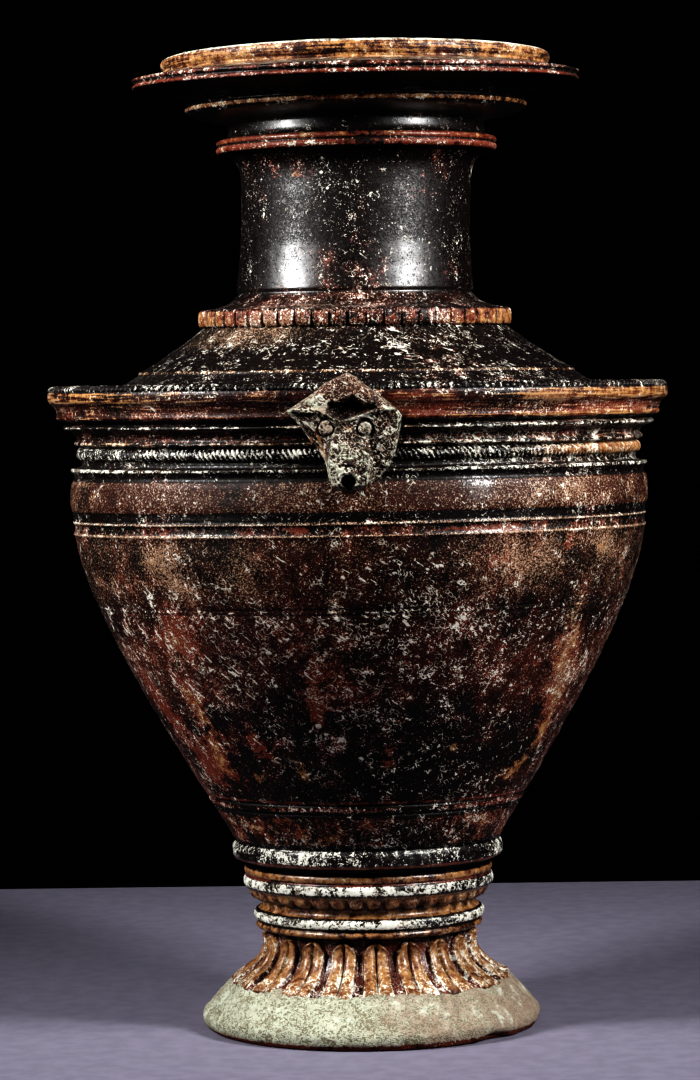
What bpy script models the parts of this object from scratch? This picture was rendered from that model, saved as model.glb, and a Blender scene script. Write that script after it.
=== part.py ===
"""Glazed stoneware jar on a fluted foot, with an animal head on its shoulder flange.

Run with: blender --background --python part.py
Units are metres and +Z is up. The origin is the middle of the underside, on the turning
axis. The head looks along -Y. The jar is one fired piece, so it is one solid: a turned
body, hollow down into the foot, with the foot's petals and the head worked onto it.
"""

import math

import bmesh
import bpy
from mathutils import Vector


# Foot, from the ground up
STEM_RADIUS = 0.0530
PETAL_SPREAD = 0.0185
FOOT_SPREAD = 0.0158
BASE_INSET = 0.0038
FOOT_EDGE_HEIGHT = 0.0085
FOOT_SLOPE_HEIGHT = 0.0155
PETAL_HEIGHT = 0.0262
PETAL_COUNT = 20
PETAL_RELIEF = 0.0031

# Foot rings, each a height and how far it stands out from the stem
LOW_RIDGE_HEIGHT = 0.0050
LOW_RIDGE_PROUD = 0.0053
LOW_RING_HEIGHT = 0.0060
LOW_RING_PROUD = 0.0064
LOW_FILLET_HEIGHT = 0.0048
LOW_FILLET_PROUD = 0.0026
FRILL_HEIGHT = 0.0050
FRILL_PROUD = 0.0075
MIDDLE_RING_HEIGHT = 0.0080
MIDDLE_RING_PROUD = 0.0110
HIGH_FILLET_HEIGHT = 0.0044
HIGH_FILLET_PROUD = 0.0108
RING_GAP_HEIGHT = 0.0030
RING_GAP_PROUD = 0.0092
TOP_RING_HEIGHT = 0.0100
TOP_RING_PROUD = 0.0163

# Belly, from the top foot ring to the band under the flange
BELLY_BASE_PROUD = 0.0153
BELLY_RADIUS = 0.1470
BELLY_HEIGHT = 0.1654
BELLY_LOW_RISE = 0.0300
BELLY_LOW_SPREAD = 0.0172
BELLY_HIGH_DROP = 0.0500
BELLY_HIGH_PINCH = 0.0050
BAND_HEIGHT = 0.0252
BAND_CROWN = 0.0017

# Mouldings between the band and the flange
BAND_RIDGE_HEIGHT = 0.0032
BAND_RIDGE_PROUD = 0.0014
WAIST_HEIGHT = 0.0044
WAIST_DEPTH = 0.0044
CORD_HEIGHT = 0.0064
CORD_PROUD = 0.0034
COVE_HEIGHT = 0.0076
COVE_PROUD = 0.0026
FINE_RIDGE_HEIGHT = 0.0030
FINE_RIDGE_PROUD = 0.0092
FINE_GROOVE_HEIGHT = 0.0022

# Shoulder flange
FLANGE_OVERHANG = 0.0127
FLANGE_HEIGHT = 0.0150
FLANGE_SLOPE = 0.0066
FLANGE_BEAD_HEIGHT = 0.0030
FLANGE_BEAD_WIDTH = 0.0095
FLANGE_SHELF_WIDTH = 0.0332

# Shoulder, from the flange up to the foot of the neck
SHOULDER_RISE_WIDTH = 0.0145
SHOULDER_STEP_HEIGHT = 0.0096
SHOULDER_STEP = 0.0014
SHOULDER_HEIGHT = 0.0231

# Neck
NECK_RADIUS = 0.0594
NECK_BAND_PROUD = 0.0196
NECK_BAND_HEIGHT = 0.0084
NECK_FLARE_HEIGHT = 0.0130
NECK_HEIGHT = 0.0570
NECK_COVE_HEIGHT = 0.0105
NECK_RING_HEIGHT = 0.0094
NECK_RING_PROUD = 0.0128
NECK_RING_GROOVE = 0.0016

# Cup and rim
CUP_RISE = 0.0116
CUP_FOOT_PROUD = 0.0060
KNIFE_PROUD = 0.0287
KNIFE_HEIGHT = 0.0046
CUP_TOP_HEIGHT = 0.0090
RIM_OVERHANG = 0.0276
RIM_HEIGHT = 0.0074
RIM_GROOVE = 0.0014
RIM_GAP_HEIGHT = 0.0024
LIP_SETBACK = 0.0153
LIP_HEIGHT = 0.0052
LIP_ROUND = 0.0032

# Walls of the hollow
LIP_WIDTH = 0.0100
CUP_WALL = 0.0105
NECK_WALL = 0.0078
SHOULDER_WALL = 0.0085
BELLY_WALL = 0.0085
STEM_WALL = 0.0125
BASE_THICKNESS = 0.0260

# Animal head, measured on its own front
HEAD_HALF_WIDTH = 0.0268
HEAD_HEIGHT = 0.0578
HEAD_RISE = 0.0048
HEAD_BURY = 0.0020
BROW_PROUD = 0.0055
SNOUT_PROUD = 0.0130
CHEEK_FALL = 0.0040
SNOUT_BRIDGE_WIDTH = 0.0080
SNOUT_TIP_WIDTH = 0.0162
CHIN_SETBACK = 0.0060
NOSTRIL_RADIUS = 0.0036
NOSTRIL_DEPTH = 0.0100
EYE_RADIUS = 0.0040
EYE_PROUD = 0.0020
EYE_SPACING = 0.0184
EYE_DEPTH_SHARE = 0.25
NOSTRIL_TILT = 0.25
DISH_WIDTH = 0.0470
DISH_DEPTH = 0.0075
PIT_WIDTH = 0.0210
PIT_HEIGHT = 0.0100
PIT_DEPTH = 0.0080

# Chip in the underside of the foot, front right
CHIP_ANGLE = math.radians(-42.0)
CHIP_LENGTH = 0.0200
CHIP_WIDTH = 0.0140
CHIP_RISE = 0.0034

# Smoothness
TURN_STEPS = 32
HOLLOW_STEPS = 18
BELLY_POINTS = 7
SHOULDER_POINTS = 4

MERGE = 0.00005
GLAZE = (0.045, 0.022, 0.012, 1.0)


def stack(start, *heights):
    """Running heights from start: one level for each band, bottom to top."""
    levels = []
    level = start
    for height in heights:
        level += height
        levels.append(level)
    return levels


# Radii that follow from the sizes above
PETAL_TOE_RADIUS = STEM_RADIUS + PETAL_SPREAD
FOOT_RADIUS = PETAL_TOE_RADIUS + FOOT_SPREAD
BASE_RADIUS = FOOT_RADIUS - BASE_INSET
BELLY_BASE_RADIUS = STEM_RADIUS + BELLY_BASE_PROUD
WAIST_RADIUS = BELLY_RADIUS - WAIST_DEPTH
FLANGE_RADIUS = BELLY_RADIUS + FLANGE_OVERHANG
FLANGE_FLOOR_RADIUS = FLANGE_RADIUS - FLANGE_SHELF_WIDTH
SHOULDER_STEP_RADIUS = FLANGE_FLOOR_RADIUS - SHOULDER_RISE_WIDTH
SHOULDER_TOP_RADIUS = NECK_RADIUS + NECK_BAND_PROUD
KNIFE_RADIUS = NECK_RADIUS + KNIFE_PROUD
RIM_RADIUS = KNIFE_RADIUS + RIM_OVERHANG
LIP_RADIUS = RIM_RADIUS - LIP_SETBACK

# Heights above the ground of the top of each band
Z_FOOT_EDGE, Z_TOE, Z_PETAL_TOP = stack(
    0.0, FOOT_EDGE_HEIGHT, FOOT_SLOPE_HEIGHT, PETAL_HEIGHT)
Z_RIDGE, Z_LOW_RING, Z_LOW_FILLET, Z_FRILL = stack(
    Z_PETAL_TOP, LOW_RIDGE_HEIGHT, LOW_RING_HEIGHT, LOW_FILLET_HEIGHT, FRILL_HEIGHT)
Z_MIDDLE_RING, Z_HIGH_FILLET, Z_RING_GAP, Z_TOP_RING = stack(
    Z_FRILL, MIDDLE_RING_HEIGHT, HIGH_FILLET_HEIGHT, RING_GAP_HEIGHT, TOP_RING_HEIGHT)
Z_BELLY, Z_BAND, Z_BAND_RIDGE, Z_WAIST = stack(
    Z_TOP_RING, BELLY_HEIGHT, BAND_HEIGHT, BAND_RIDGE_HEIGHT, WAIST_HEIGHT)
Z_CORD, Z_COVE, Z_FINE_RIDGE, Z_FINE_GROOVE = stack(
    Z_WAIST, CORD_HEIGHT, COVE_HEIGHT, FINE_RIDGE_HEIGHT, FINE_GROOVE_HEIGHT)
Z_FLANGE, Z_SHOULDER_STEP, Z_SHOULDER = stack(
    Z_FINE_GROOVE, FLANGE_HEIGHT, SHOULDER_STEP_HEIGHT, SHOULDER_HEIGHT)
Z_NECK_BAND, Z_FLARE, Z_NECK = stack(
    Z_SHOULDER, NECK_BAND_HEIGHT, NECK_FLARE_HEIGHT, NECK_HEIGHT)
Z_NECK_COVE, Z_NECK_RING, Z_CUP, Z_KNIFE = stack(
    Z_NECK, NECK_COVE_HEIGHT, NECK_RING_HEIGHT, CUP_RISE, KNIFE_HEIGHT)
Z_CUP_TOP, Z_RIM, Z_RIM_GAP, Z_TOP = stack(
    Z_KNIFE, CUP_TOP_HEIGHT, RIM_HEIGHT, RIM_GAP_HEIGHT, LIP_HEIGHT)


def curve(start, pull_start, pull_end, end, points):
    """Points along a Bezier curve, without its first point."""
    found = []
    for index in range(1, points + 1):
        t = index / points
        s = 1.0 - t
        weights = (s * s * s, 3.0 * s * s * t, 3.0 * s * t * t, t * t * t)
        corners = (start, pull_start, pull_end, end)
        found.append(tuple(
            sum(weight * corner[axis] for weight, corner in zip(weights, corners))
            for axis in (0, 1)))
    return found


def bead(radius, top, bottom, proud, points):
    """A half-round moulding standing proud of a radius, top to bottom."""
    middle = 0.5 * (top + bottom)
    half = 0.5 * (top - bottom)
    found = []
    for index in range(points):
        turn = math.pi * (index + 0.5) / points
        found.append((radius + proud * math.sin(turn), middle + half * math.cos(turn)))
    return found


def belly_curve(points, inset=0.0):
    """The belly from the band down to the top foot ring, moved in by inset."""
    high = (BELLY_RADIUS - inset, Z_BELLY)
    low = (BELLY_BASE_RADIUS - inset, Z_TOP_RING)
    pull_high = (high[0] - BELLY_HIGH_PINCH, high[1] - BELLY_HIGH_DROP)
    pull_low = (low[0] + BELLY_LOW_SPREAD, low[1] + BELLY_LOW_RISE)
    return curve(high, pull_high, pull_low, low, points)


def shoulder_curve(points, inset=0.0):
    """The hollow slope from the foot of the neck down to the shoulder's step."""
    high = (SHOULDER_TOP_RADIUS, Z_SHOULDER - inset)
    low = (SHOULDER_STEP_RADIUS, Z_SHOULDER_STEP - inset)
    run = low[0] - high[0]
    fall = high[1] - low[1]
    pull_high = (high[0] + 0.19 * run, high[1] - 0.34 * fall)
    pull_low = (low[0] - 0.10 * run, low[1] + 0.09 * fall)
    return curve(high, pull_high, pull_low, low, points)


def rim_profile():
    """Lip, rim flange, cup and neck ring, down to the neck's foot."""
    lip_side = LIP_RADIUS - LIP_ROUND
    points = [(0.0, Z_TOP), (lip_side, Z_TOP)]
    points += bead(lip_side, Z_TOP, Z_RIM_GAP, LIP_ROUND, 2)
    points.append((lip_side - 0.0010, Z_RIM + 0.0002))
    points.append((RIM_RADIUS - 0.0020, Z_RIM))
    points.append((RIM_RADIUS, Z_RIM - 0.22 * RIM_HEIGHT))
    points.append((RIM_RADIUS - RIM_GROOVE, Z_RIM - 0.55 * RIM_HEIGHT))
    points.append((RIM_RADIUS - 0.0004, Z_RIM - 0.80 * RIM_HEIGHT))
    points.append((RIM_RADIUS - 0.0022, Z_CUP_TOP))
    reach = RIM_RADIUS - KNIFE_RADIUS
    points.append((KNIFE_RADIUS + 0.42 * reach, Z_CUP_TOP - 0.08 * CUP_TOP_HEIGHT))
    points.append((KNIFE_RADIUS + 0.12 * reach, Z_CUP_TOP - 0.34 * CUP_TOP_HEIGHT))
    points.append((KNIFE_RADIUS - 0.0019, Z_KNIFE + 0.24 * CUP_TOP_HEIGHT))
    points.append((KNIFE_RADIUS, Z_KNIFE))
    points.append((KNIFE_RADIUS - 0.0004, Z_KNIFE - 0.45 * KNIFE_HEIGHT))
    points.append((KNIFE_RADIUS - 0.0045, Z_CUP))
    foot = NECK_RADIUS + CUP_FOOT_PROUD
    reach = KNIFE_RADIUS - foot
    points.append((foot + 0.38 * reach, Z_CUP - 0.25 * CUP_RISE))
    points.append((foot + 0.08 * reach, Z_CUP - 0.62 * CUP_RISE))
    points.append((foot, Z_NECK_RING + 0.0004))
    ring = NECK_RADIUS + NECK_RING_PROUD
    for share, depth in ((0.02, 0.9), (0.26, 0.0), (0.50, 1.0), (0.74, 0.0), (0.98, 0.9)):
        points.append((ring - depth * NECK_RING_GROOVE, Z_NECK_RING - share * NECK_RING_HEIGHT))
    points.append((NECK_RADIUS + 0.36 * NECK_RING_PROUD, Z_NECK_COVE - 0.18 * NECK_COVE_HEIGHT))
    points.append((NECK_RADIUS + 0.10 * NECK_RING_PROUD, Z_NECK_COVE - 0.52 * NECK_COVE_HEIGHT))
    points.append((NECK_RADIUS, Z_NECK))
    return points


def shoulder_profile():
    """The neck's flare and notched band, the shoulder and the top of the flange."""
    points = [(NECK_RADIUS, Z_FLARE)]
    reach = SHOULDER_TOP_RADIUS - NECK_RADIUS
    points.append((NECK_RADIUS + 0.08 * reach, Z_FLARE - 0.42 * NECK_FLARE_HEIGHT))
    points.append((NECK_RADIUS + 0.34 * reach, Z_FLARE - 0.74 * NECK_FLARE_HEIGHT))
    points.append((SHOULDER_TOP_RADIUS - 0.0006, Z_NECK_BAND))
    points.append((SHOULDER_TOP_RADIUS + 0.0005, Z_NECK_BAND - 0.20 * NECK_BAND_HEIGHT))
    points.append((SHOULDER_TOP_RADIUS + 0.0005, Z_SHOULDER + 0.16 * NECK_BAND_HEIGHT))
    points.append((SHOULDER_TOP_RADIUS, Z_SHOULDER))
    points += shoulder_curve(SHOULDER_POINTS)
    points.append((SHOULDER_STEP_RADIUS, Z_SHOULDER_STEP - SHOULDER_STEP))
    floor = Z_FLANGE
    reach = FLANGE_FLOOR_RADIUS - SHOULDER_STEP_RADIUS
    points.append((SHOULDER_STEP_RADIUS + 0.55 * reach, floor + 0.36 * SHOULDER_STEP_HEIGHT))
    points.append((FLANGE_FLOOR_RADIUS, floor))
    inside = FLANGE_RADIUS - FLANGE_BEAD_WIDTH
    points.append((inside - 0.0010, floor))
    points.append((inside + 0.28 * FLANGE_BEAD_WIDTH, floor + 0.94 * FLANGE_BEAD_HEIGHT))
    points.append((inside + 0.68 * FLANGE_BEAD_WIDTH, floor + FLANGE_BEAD_HEIGHT))
    return points


def flange_profile():
    """The flange's face and the mouldings under it, down to the band."""
    foot = FLANGE_RADIUS - FLANGE_SLOPE
    points = [(FLANGE_RADIUS, Z_FLANGE)]
    points.append((FLANGE_RADIUS - 0.0003, Z_FLANGE - 0.28 * FLANGE_HEIGHT))
    points.append((foot + 0.48 * FLANGE_SLOPE, Z_FLANGE - 0.48 * FLANGE_HEIGHT))
    points.append((foot + 0.20 * FLANGE_SLOPE, Z_FLANGE - 0.76 * FLANGE_HEIGHT))
    points.append((foot - 0.0008, Z_FINE_GROOVE))
    waist = WAIST_RADIUS
    ridge = waist + FINE_RIDGE_PROUD
    points.append((ridge - 0.0025, Z_FINE_RIDGE + 0.35 * FINE_GROOVE_HEIGHT))
    points.append((ridge, Z_FINE_RIDGE))
    points.append((ridge - 0.0004, Z_FINE_RIDGE - 0.55 * FINE_RIDGE_HEIGHT))
    points.append((waist + COVE_PROUD + 0.0020, Z_COVE))
    points.append((waist + COVE_PROUD, Z_COVE - 0.40 * COVE_HEIGHT))
    points.append((waist + 0.0016, Z_CORD + 0.12 * COVE_HEIGHT))
    points += bead(waist, Z_CORD, Z_WAIST, CORD_PROUD, 2)
    points.append((waist, Z_WAIST - 0.15 * WAIST_HEIGHT))
    points.append((waist + 0.0003, Z_BAND_RIDGE + 0.15 * WAIST_HEIGHT))
    points.append((BELLY_RADIUS + BAND_RIDGE_PROUD, Z_BAND_RIDGE - 0.10 * BAND_RIDGE_HEIGHT))
    points.append((BELLY_RADIUS + 0.4 * BAND_RIDGE_PROUD, Z_BAND + 0.30 * BAND_RIDGE_HEIGHT))
    points.append((BELLY_RADIUS - 0.0005, Z_BAND))
    points.append((BELLY_RADIUS + 0.75 * BAND_CROWN, Z_BAND - 0.30 * BAND_HEIGHT))
    points.append((BELLY_RADIUS + BAND_CROWN, Z_BAND - 0.65 * BAND_HEIGHT))
    points.append((BELLY_RADIUS, Z_BELLY))
    return points


def foot_profile():
    """The foot rings, the stem behind the petals and the spreading foot."""
    points = []
    top = STEM_RADIUS + TOP_RING_PROUD
    points.append((top, Z_TOP_RING - 0.24 * TOP_RING_HEIGHT))
    points.append((top - 0.0002, Z_TOP_RING - 0.72 * TOP_RING_HEIGHT))
    points.append((top - 0.0026, Z_RING_GAP))
    gap = STEM_RADIUS + RING_GAP_PROUD
    points.append((gap, Z_RING_GAP - 0.10 * RING_GAP_HEIGHT))
    fillet = STEM_RADIUS + HIGH_FILLET_PROUD
    points.append((fillet, Z_HIGH_FILLET - 0.25 * HIGH_FILLET_HEIGHT))
    points.append((fillet - 0.0004, Z_MIDDLE_RING + 0.10 * HIGH_FILLET_HEIGHT))
    middle = STEM_RADIUS + MIDDLE_RING_PROUD
    points.append((middle, Z_MIDDLE_RING - 0.32 * MIDDLE_RING_HEIGHT))
    points.append((middle - 0.0005, Z_FRILL + 0.25 * MIDDLE_RING_HEIGHT))
    frill = STEM_RADIUS + FRILL_PROUD
    points.append((frill, Z_FRILL - 0.10 * FRILL_HEIGHT))
    points.append((frill - 0.0035, Z_LOW_FILLET + 0.10 * FRILL_HEIGHT))
    fillet = STEM_RADIUS + LOW_FILLET_PROUD
    points.append((fillet, Z_LOW_FILLET - 0.06 * LOW_FILLET_HEIGHT))
    points.append((fillet, Z_LOW_RING + 0.12 * LOW_FILLET_HEIGHT))
    low = STEM_RADIUS + LOW_RING_PROUD
    points.append((low, Z_LOW_RING - 0.34 * LOW_RING_HEIGHT))
    points.append((low, Z_RIDGE + 0.20 * LOW_RING_HEIGHT))
    ridge = STEM_RADIUS + LOW_RIDGE_PROUD
    points.append((ridge - 0.0010, Z_RIDGE))
    points.append((ridge, Z_RIDGE - 0.30 * LOW_RIDGE_HEIGHT))
    points.append((ridge - 0.0016, Z_PETAL_TOP + 0.20 * LOW_RIDGE_HEIGHT))
    core = STEM_RADIUS - PETAL_RELIEF
    points.append((core, Z_PETAL_TOP))
    points.append((core, Z_TOE + 0.30 * PETAL_HEIGHT))
    points.append((PETAL_TOE_RADIUS, Z_TOE))
    reach = FOOT_RADIUS - PETAL_TOE_RADIUS
    points.append((PETAL_TOE_RADIUS + 0.56 * reach, Z_FOOT_EDGE + 0.48 * FOOT_SLOPE_HEIGHT))
    points.append((FOOT_RADIUS - 0.0012, Z_FOOT_EDGE))
    points.append((FOOT_RADIUS, 0.45 * FOOT_EDGE_HEIGHT))
    points.append((BASE_RADIUS, 0.0))
    points.append((0.0, 0.0))
    return points


def hollow_profile():
    """The space inside: mouth, cup, neck, belly and the well in the foot."""
    mouth = LIP_RADIUS - LIP_WIDTH
    neck = NECK_RADIUS - NECK_WALL
    well = STEM_RADIUS - STEM_WALL
    points = [(0.0, Z_TOP + 0.02), (mouth, Z_TOP + 0.02), (mouth - 0.0010, Z_RIM_GAP)]
    points.append((KNIFE_RADIUS - CUP_WALL + 0.0060, Z_CUP_TOP))
    points.append((KNIFE_RADIUS - CUP_WALL - 0.0060, Z_KNIFE))
    points.append((neck + 0.0045, Z_NECK_RING))
    points.append((neck, Z_NECK_COVE))
    points.append((neck, Z_FLARE))
    points.append((neck + 0.0060, Z_NECK_BAND - 0.3 * NECK_BAND_HEIGHT))
    points += shoulder_curve(2, SHOULDER_WALL)
    inside = WAIST_RADIUS - BELLY_WALL
    points.append((FLANGE_FLOOR_RADIUS - 0.0030, Z_FLANGE - SHOULDER_WALL))
    points.append((inside, Z_CORD))
    points.append((BELLY_RADIUS - BELLY_WALL, Z_BAND - 0.5 * BAND_HEIGHT))
    points.append((BELLY_RADIUS - BELLY_WALL, Z_BELLY))
    points += belly_curve(5, BELLY_WALL + 0.0010)
    points.append((well, Z_FRILL))
    points.append((well, BASE_THICKNESS + 0.012))
    points.append((well - 0.008, BASE_THICKNESS + 0.002))
    points.append((0.0, BASE_THICKNESS))
    return points


def make_object(name, mesh, collection):
    """Link a mesh to the scene as an object of that name."""
    item = bpy.data.objects.new(name, mesh)
    collection.objects.link(item)
    return item


def turned(name, profile, steps, collection):
    """A profile of (radius, height) points turned once round the Z axis."""
    mesh = bpy.data.meshes.new(name)
    edges = [(index, index + 1) for index in range(len(profile) - 1)]
    mesh.from_pydata([(radius, 0.0, height) for radius, height in profile], edges, [])
    item = make_object(name, mesh, collection)
    screw = item.modifiers.new("Turn", "SCREW")
    screw.axis = "Z"
    screw.angle = math.tau
    screw.steps = steps
    screw.render_steps = steps
    screw.use_merge_vertices = True
    screw.merge_threshold = MERGE
    screw.use_normal_calculate = True
    screw.use_smooth_shade = True
    return item


def loft(name, rows, collection):
    """A closed solid through rows of points, each row a closed loop, top row first."""
    form = bmesh.new()
    loops = [[form.verts.new(point) for point in row] for row in rows]
    for upper, lower in zip(loops, loops[1:]):
        count = len(upper)
        for index in range(count):
            after = (index + 1) % count
            form.faces.new((upper[index], lower[index], lower[after], upper[after]))
    form.faces.new(loops[0])
    form.faces.new(list(reversed(loops[-1])))
    bmesh.ops.recalc_face_normals(form, faces=form.faces)
    mesh = bpy.data.meshes.new(name)
    form.to_mesh(mesh)
    form.free()
    return make_object(name, mesh, collection)


def petal_crown(collection):
    """The ring of double petals round the stem, arched at the top, spreading below."""
    # Six stations across one petal: gap, edge, lobe, middle groove, lobe, edge
    relief = (0.10, 0.72, 1.0, 0.62, 1.0, 0.72)
    droop = (0.26, 0.19, 0.05, 0.0, 0.05, 0.19)
    steps = PETAL_COUNT * len(relief)
    reach = PETAL_TOE_RADIUS - STEM_RADIUS
    # Height and spread of each row, as shares of the petal, and how full its relief is
    rows = ((1.00, 0.0, 0.15, 1.0), (0.94, 0.0, 1.0, 1.0), (0.52, -0.03, 1.0, 0.0),
            (0.30, 0.18, 1.0, 0.0), (0.12, 0.58, 0.9, 0.0), (0.0, 0.94, 0.7, 0.0))
    loops = [[(
        (STEM_RADIUS - 0.004) * math.cos(math.tau * step / steps),
        (STEM_RADIUS - 0.004) * math.sin(math.tau * step / steps),
        Z_PETAL_TOP + 0.0012) for step in range(steps)]]
    for share, spread, fullness, arching in rows:
        loop = []
        for step in range(steps):
            station = step % len(relief)
            radius = STEM_RADIUS + reach * spread + PETAL_RELIEF * relief[station] * fullness
            height = Z_TOE + PETAL_HEIGHT * (share - droop[station] * arching * 0.62)
            turn = math.tau * step / steps
            loop.append((radius * math.cos(turn), radius * math.sin(turn), height))
        loops.append(loop)
    sink = PETAL_TOE_RADIUS - 0.008
    loops.append([(
        sink * math.cos(math.tau * step / steps),
        sink * math.sin(math.tau * step / steps),
        Z_TOE - 0.3 * FOOT_SLOPE_HEIGHT) for step in range(steps)])
    return loft("PetalCrown", loops, collection)


def smooth(value):
    """Ease from 0 to 1 between 0 and 1."""
    value = min(1.0, max(0.0, value))
    return value * value * (3.0 - 2.0 * value)


def head_depth(x, down):
    """How far the face stands out of the flange's radius, x aside and down from 0 to 1."""
    down = min(1.0, max(0.0, down))
    cheek = BROW_PROUD - CHEEK_FALL * down
    half = 0.5 * (SNOUT_BRIDGE_WIDTH + (SNOUT_TIP_WIDTH - SNOUT_BRIDGE_WIDTH) * min(1.0, 1.6 * down))
    side = 0.30 * SNOUT_TIP_WIDTH
    ridge = smooth((half + side - abs(x)) / side)
    return cheek + (SNOUT_PROUD - cheek) * ridge * smooth(0.15 + down)


def head_block(collection):
    """The head from the crest down to the snout, as level slices from top to bottom."""
    crest = Z_FLANGE + FLANGE_BEAD_HEIGHT + HEAD_RISE
    behind = WAIST_RADIUS - HEAD_BURY
    standing = FLANGE_RADIUS - FLANGE_BEAD_WIDTH
    # Share of the height, half width to the left and right, and whether it is above the flange
    slices = ((0.000, 0.06, 0.10, True), (0.060, 0.30, 0.30, True), (0.135, 0.48, 0.46, True),
              (0.200, 0.70, 0.66, False), (0.270, 0.98, 0.86, False), (0.335, 0.94, 0.98, False),
              (0.450, 0.68, 0.97, False), (0.570, 0.52, 0.93, False), (0.700, 0.38, 0.86, False),
              (0.810, 0.34, 0.76, False), (0.900, 0.31, 0.50, False), (0.970, 0.27, 0.30, False),
              (1.000, 0.17, 0.18, False))
    columns = 10
    rows = []
    for share, left, right, above in slices:
        height = crest - share * HEAD_HEIGHT
        down = (share - 0.30) / 0.60
        row = []
        for column in range(columns + 1):
            x = (-left + (left + right) * column / columns) * HEAD_HALF_WIDTH
            edge = abs(2.0 * column / columns - 1.0)
            reach = FLANGE_RADIUS + 0.0012 - 0.0030 * edge ** 4
            if not above:
                reach = FLANGE_RADIUS + head_depth(x, down) - 0.0060 * edge ** 8
                reach -= CHIN_SETBACK * smooth((share - 0.95) / 0.05)
            row.append((x, -math.sqrt(reach * reach - x * x), height))
        back = standing if above else behind
        for column in (columns, columns // 2, 0):
            x = (-left + (left + right) * column / columns) * HEAD_HALF_WIDTH
            row.append((x, -math.sqrt(back * back - x * x), height))
        rows.append(row)
    return loft("HeadBlock", rows, collection)


def crest_dish(collection):
    """The cutter for the dished space between the crest and the brow."""
    crest = Z_FLANGE + FLANGE_BEAD_HEIGHT + HEAD_RISE
    half = 0.5 * DISH_WIDTH
    # The rim of the dish as shares of its half width and of the head's height below the crest
    rim = ((0.05, 0.035), (0.42, 0.15), (0.98, 0.315), (0.40, 0.37), (0.0, 0.475),
           (-0.40, 0.37), (-1.00, 0.305), (-0.42, 0.15))
    form = bmesh.new()
    surface = FLANGE_RADIUS + BROW_PROUD
    front = [form.verts.new((across * half, -surface - 0.0060, crest - share * HEAD_HEIGHT))
             for across, share in rim]
    middle = [form.verts.new((across * half, -surface + 0.0015, crest - share * HEAD_HEIGHT))
              for across, share in rim]
    floor = form.verts.new((0.0, -surface + 0.0015 + DISH_DEPTH, crest - 0.28 * HEAD_HEIGHT))
    for index in range(len(rim)):
        after = (index + 1) % len(rim)
        form.faces.new((front[index], front[after], middle[after], middle[index]))
        form.faces.new((middle[index], middle[after], floor))
    form.faces.new(front)
    bmesh.ops.recalc_face_normals(form, faces=form.faces)
    mesh = bpy.data.meshes.new("CrestDish")
    form.to_mesh(mesh)
    form.free()
    return make_object("CrestDish", mesh, collection)


def ball(name, centre, radii, segments, rings, collection):
    """An ellipsoid with its own half sizes along X, Y and Z."""
    form = bmesh.new()
    bmesh.ops.create_uvsphere(form, u_segments=segments, v_segments=rings, radius=1.0)
    for vert in form.verts:
        vert.co = [centre[axis] + radii[axis] * vert.co[axis] for axis in (0, 1, 2)]
    mesh = bpy.data.meshes.new(name)
    form.to_mesh(mesh)
    form.free()
    return make_object(name, mesh, collection)


def rod(name, start, direction, radius, length, sides, collection):
    """A round bar from start along direction."""
    form = bmesh.new()
    bmesh.ops.create_cone(form, cap_ends=True, segments=sides, radius1=radius,
                          radius2=radius, depth=length)
    mesh = bpy.data.meshes.new(name)
    form.to_mesh(mesh)
    form.free()
    item = make_object(name, mesh, collection)
    item.rotation_mode = "QUATERNION"
    item.rotation_quaternion = direction.to_track_quat("Z", "X")
    item.location = start + direction * (0.5 * length)
    return item


def combine(item, tool, operation):
    """Cut the tool out of the item, or join it on; the tool stays hidden."""
    tool.hide_render = True
    tool.display_type = "WIRE"
    change = item.modifiers.new(tool.name, "BOOLEAN")
    change.operation = operation
    change.solver = "EXACT"
    change.object = tool


def head_parts(collection):
    """The head's solid block and eyes, and the cutters for its dish, pit and nostril."""
    crest = Z_FLANGE + FLANGE_BEAD_HEIGHT + HEAD_RISE
    added = [head_block(collection)]
    for side, label in ((-1.0, "Left"), (1.0, "Right")):
        x = side * 0.5 * EYE_SPACING
        reach = FLANGE_RADIUS + head_depth(x, EYE_DEPTH_SHARE) + 0.0003
        centre = (x, -math.sqrt(reach * reach - x * x), crest - 0.465 * HEAD_HEIGHT)
        added.append(ball("Eye" + label, centre, (EYE_RADIUS, EYE_PROUD, EYE_RADIUS), 10, 6, collection))
    surface = FLANGE_RADIUS + BROW_PROUD - DISH_DEPTH
    pit = ball("CrestPit", (0.0, -surface, crest - 0.300 * HEAD_HEIGHT),
               (0.5 * PIT_WIDTH, PIT_DEPTH, 0.5 * PIT_HEIGHT), 10, 6, collection)
    direction = Vector((0.0, 1.0, NOSTRIL_TILT)).normalized()
    mouth = Vector((0.0, -FLANGE_RADIUS - SNOUT_PROUD - 0.002, crest - 0.920 * HEAD_HEIGHT))
    nostril = rod("Nostril", mouth - direction * 0.004, direction, NOSTRIL_RADIUS,
                  NOSTRIL_DEPTH + 0.006, 10, collection)
    return added, [crest_dish(collection), pit, nostril]


def foot_chip(collection):
    """The bruise under the edge of the foot."""
    form = bmesh.new()
    bmesh.ops.create_cube(form, size=1.0)
    for vert in form.verts:
        vert.co.x *= CHIP_WIDTH
        vert.co.y *= CHIP_LENGTH * (1.0 if vert.co.z < 0.0 else 0.55)
        vert.co.z *= 2.0 * CHIP_RISE
    mesh = bpy.data.meshes.new("FootChip")
    form.to_mesh(mesh)
    form.free()
    item = make_object("FootChip", mesh, collection)
    item.rotation_euler = (0.0, 0.0, CHIP_ANGLE)
    middle = BASE_RADIUS + 0.0030
    item.location = (middle * math.cos(CHIP_ANGLE), middle * math.sin(CHIP_ANGLE), 0.0)
    return item


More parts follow.
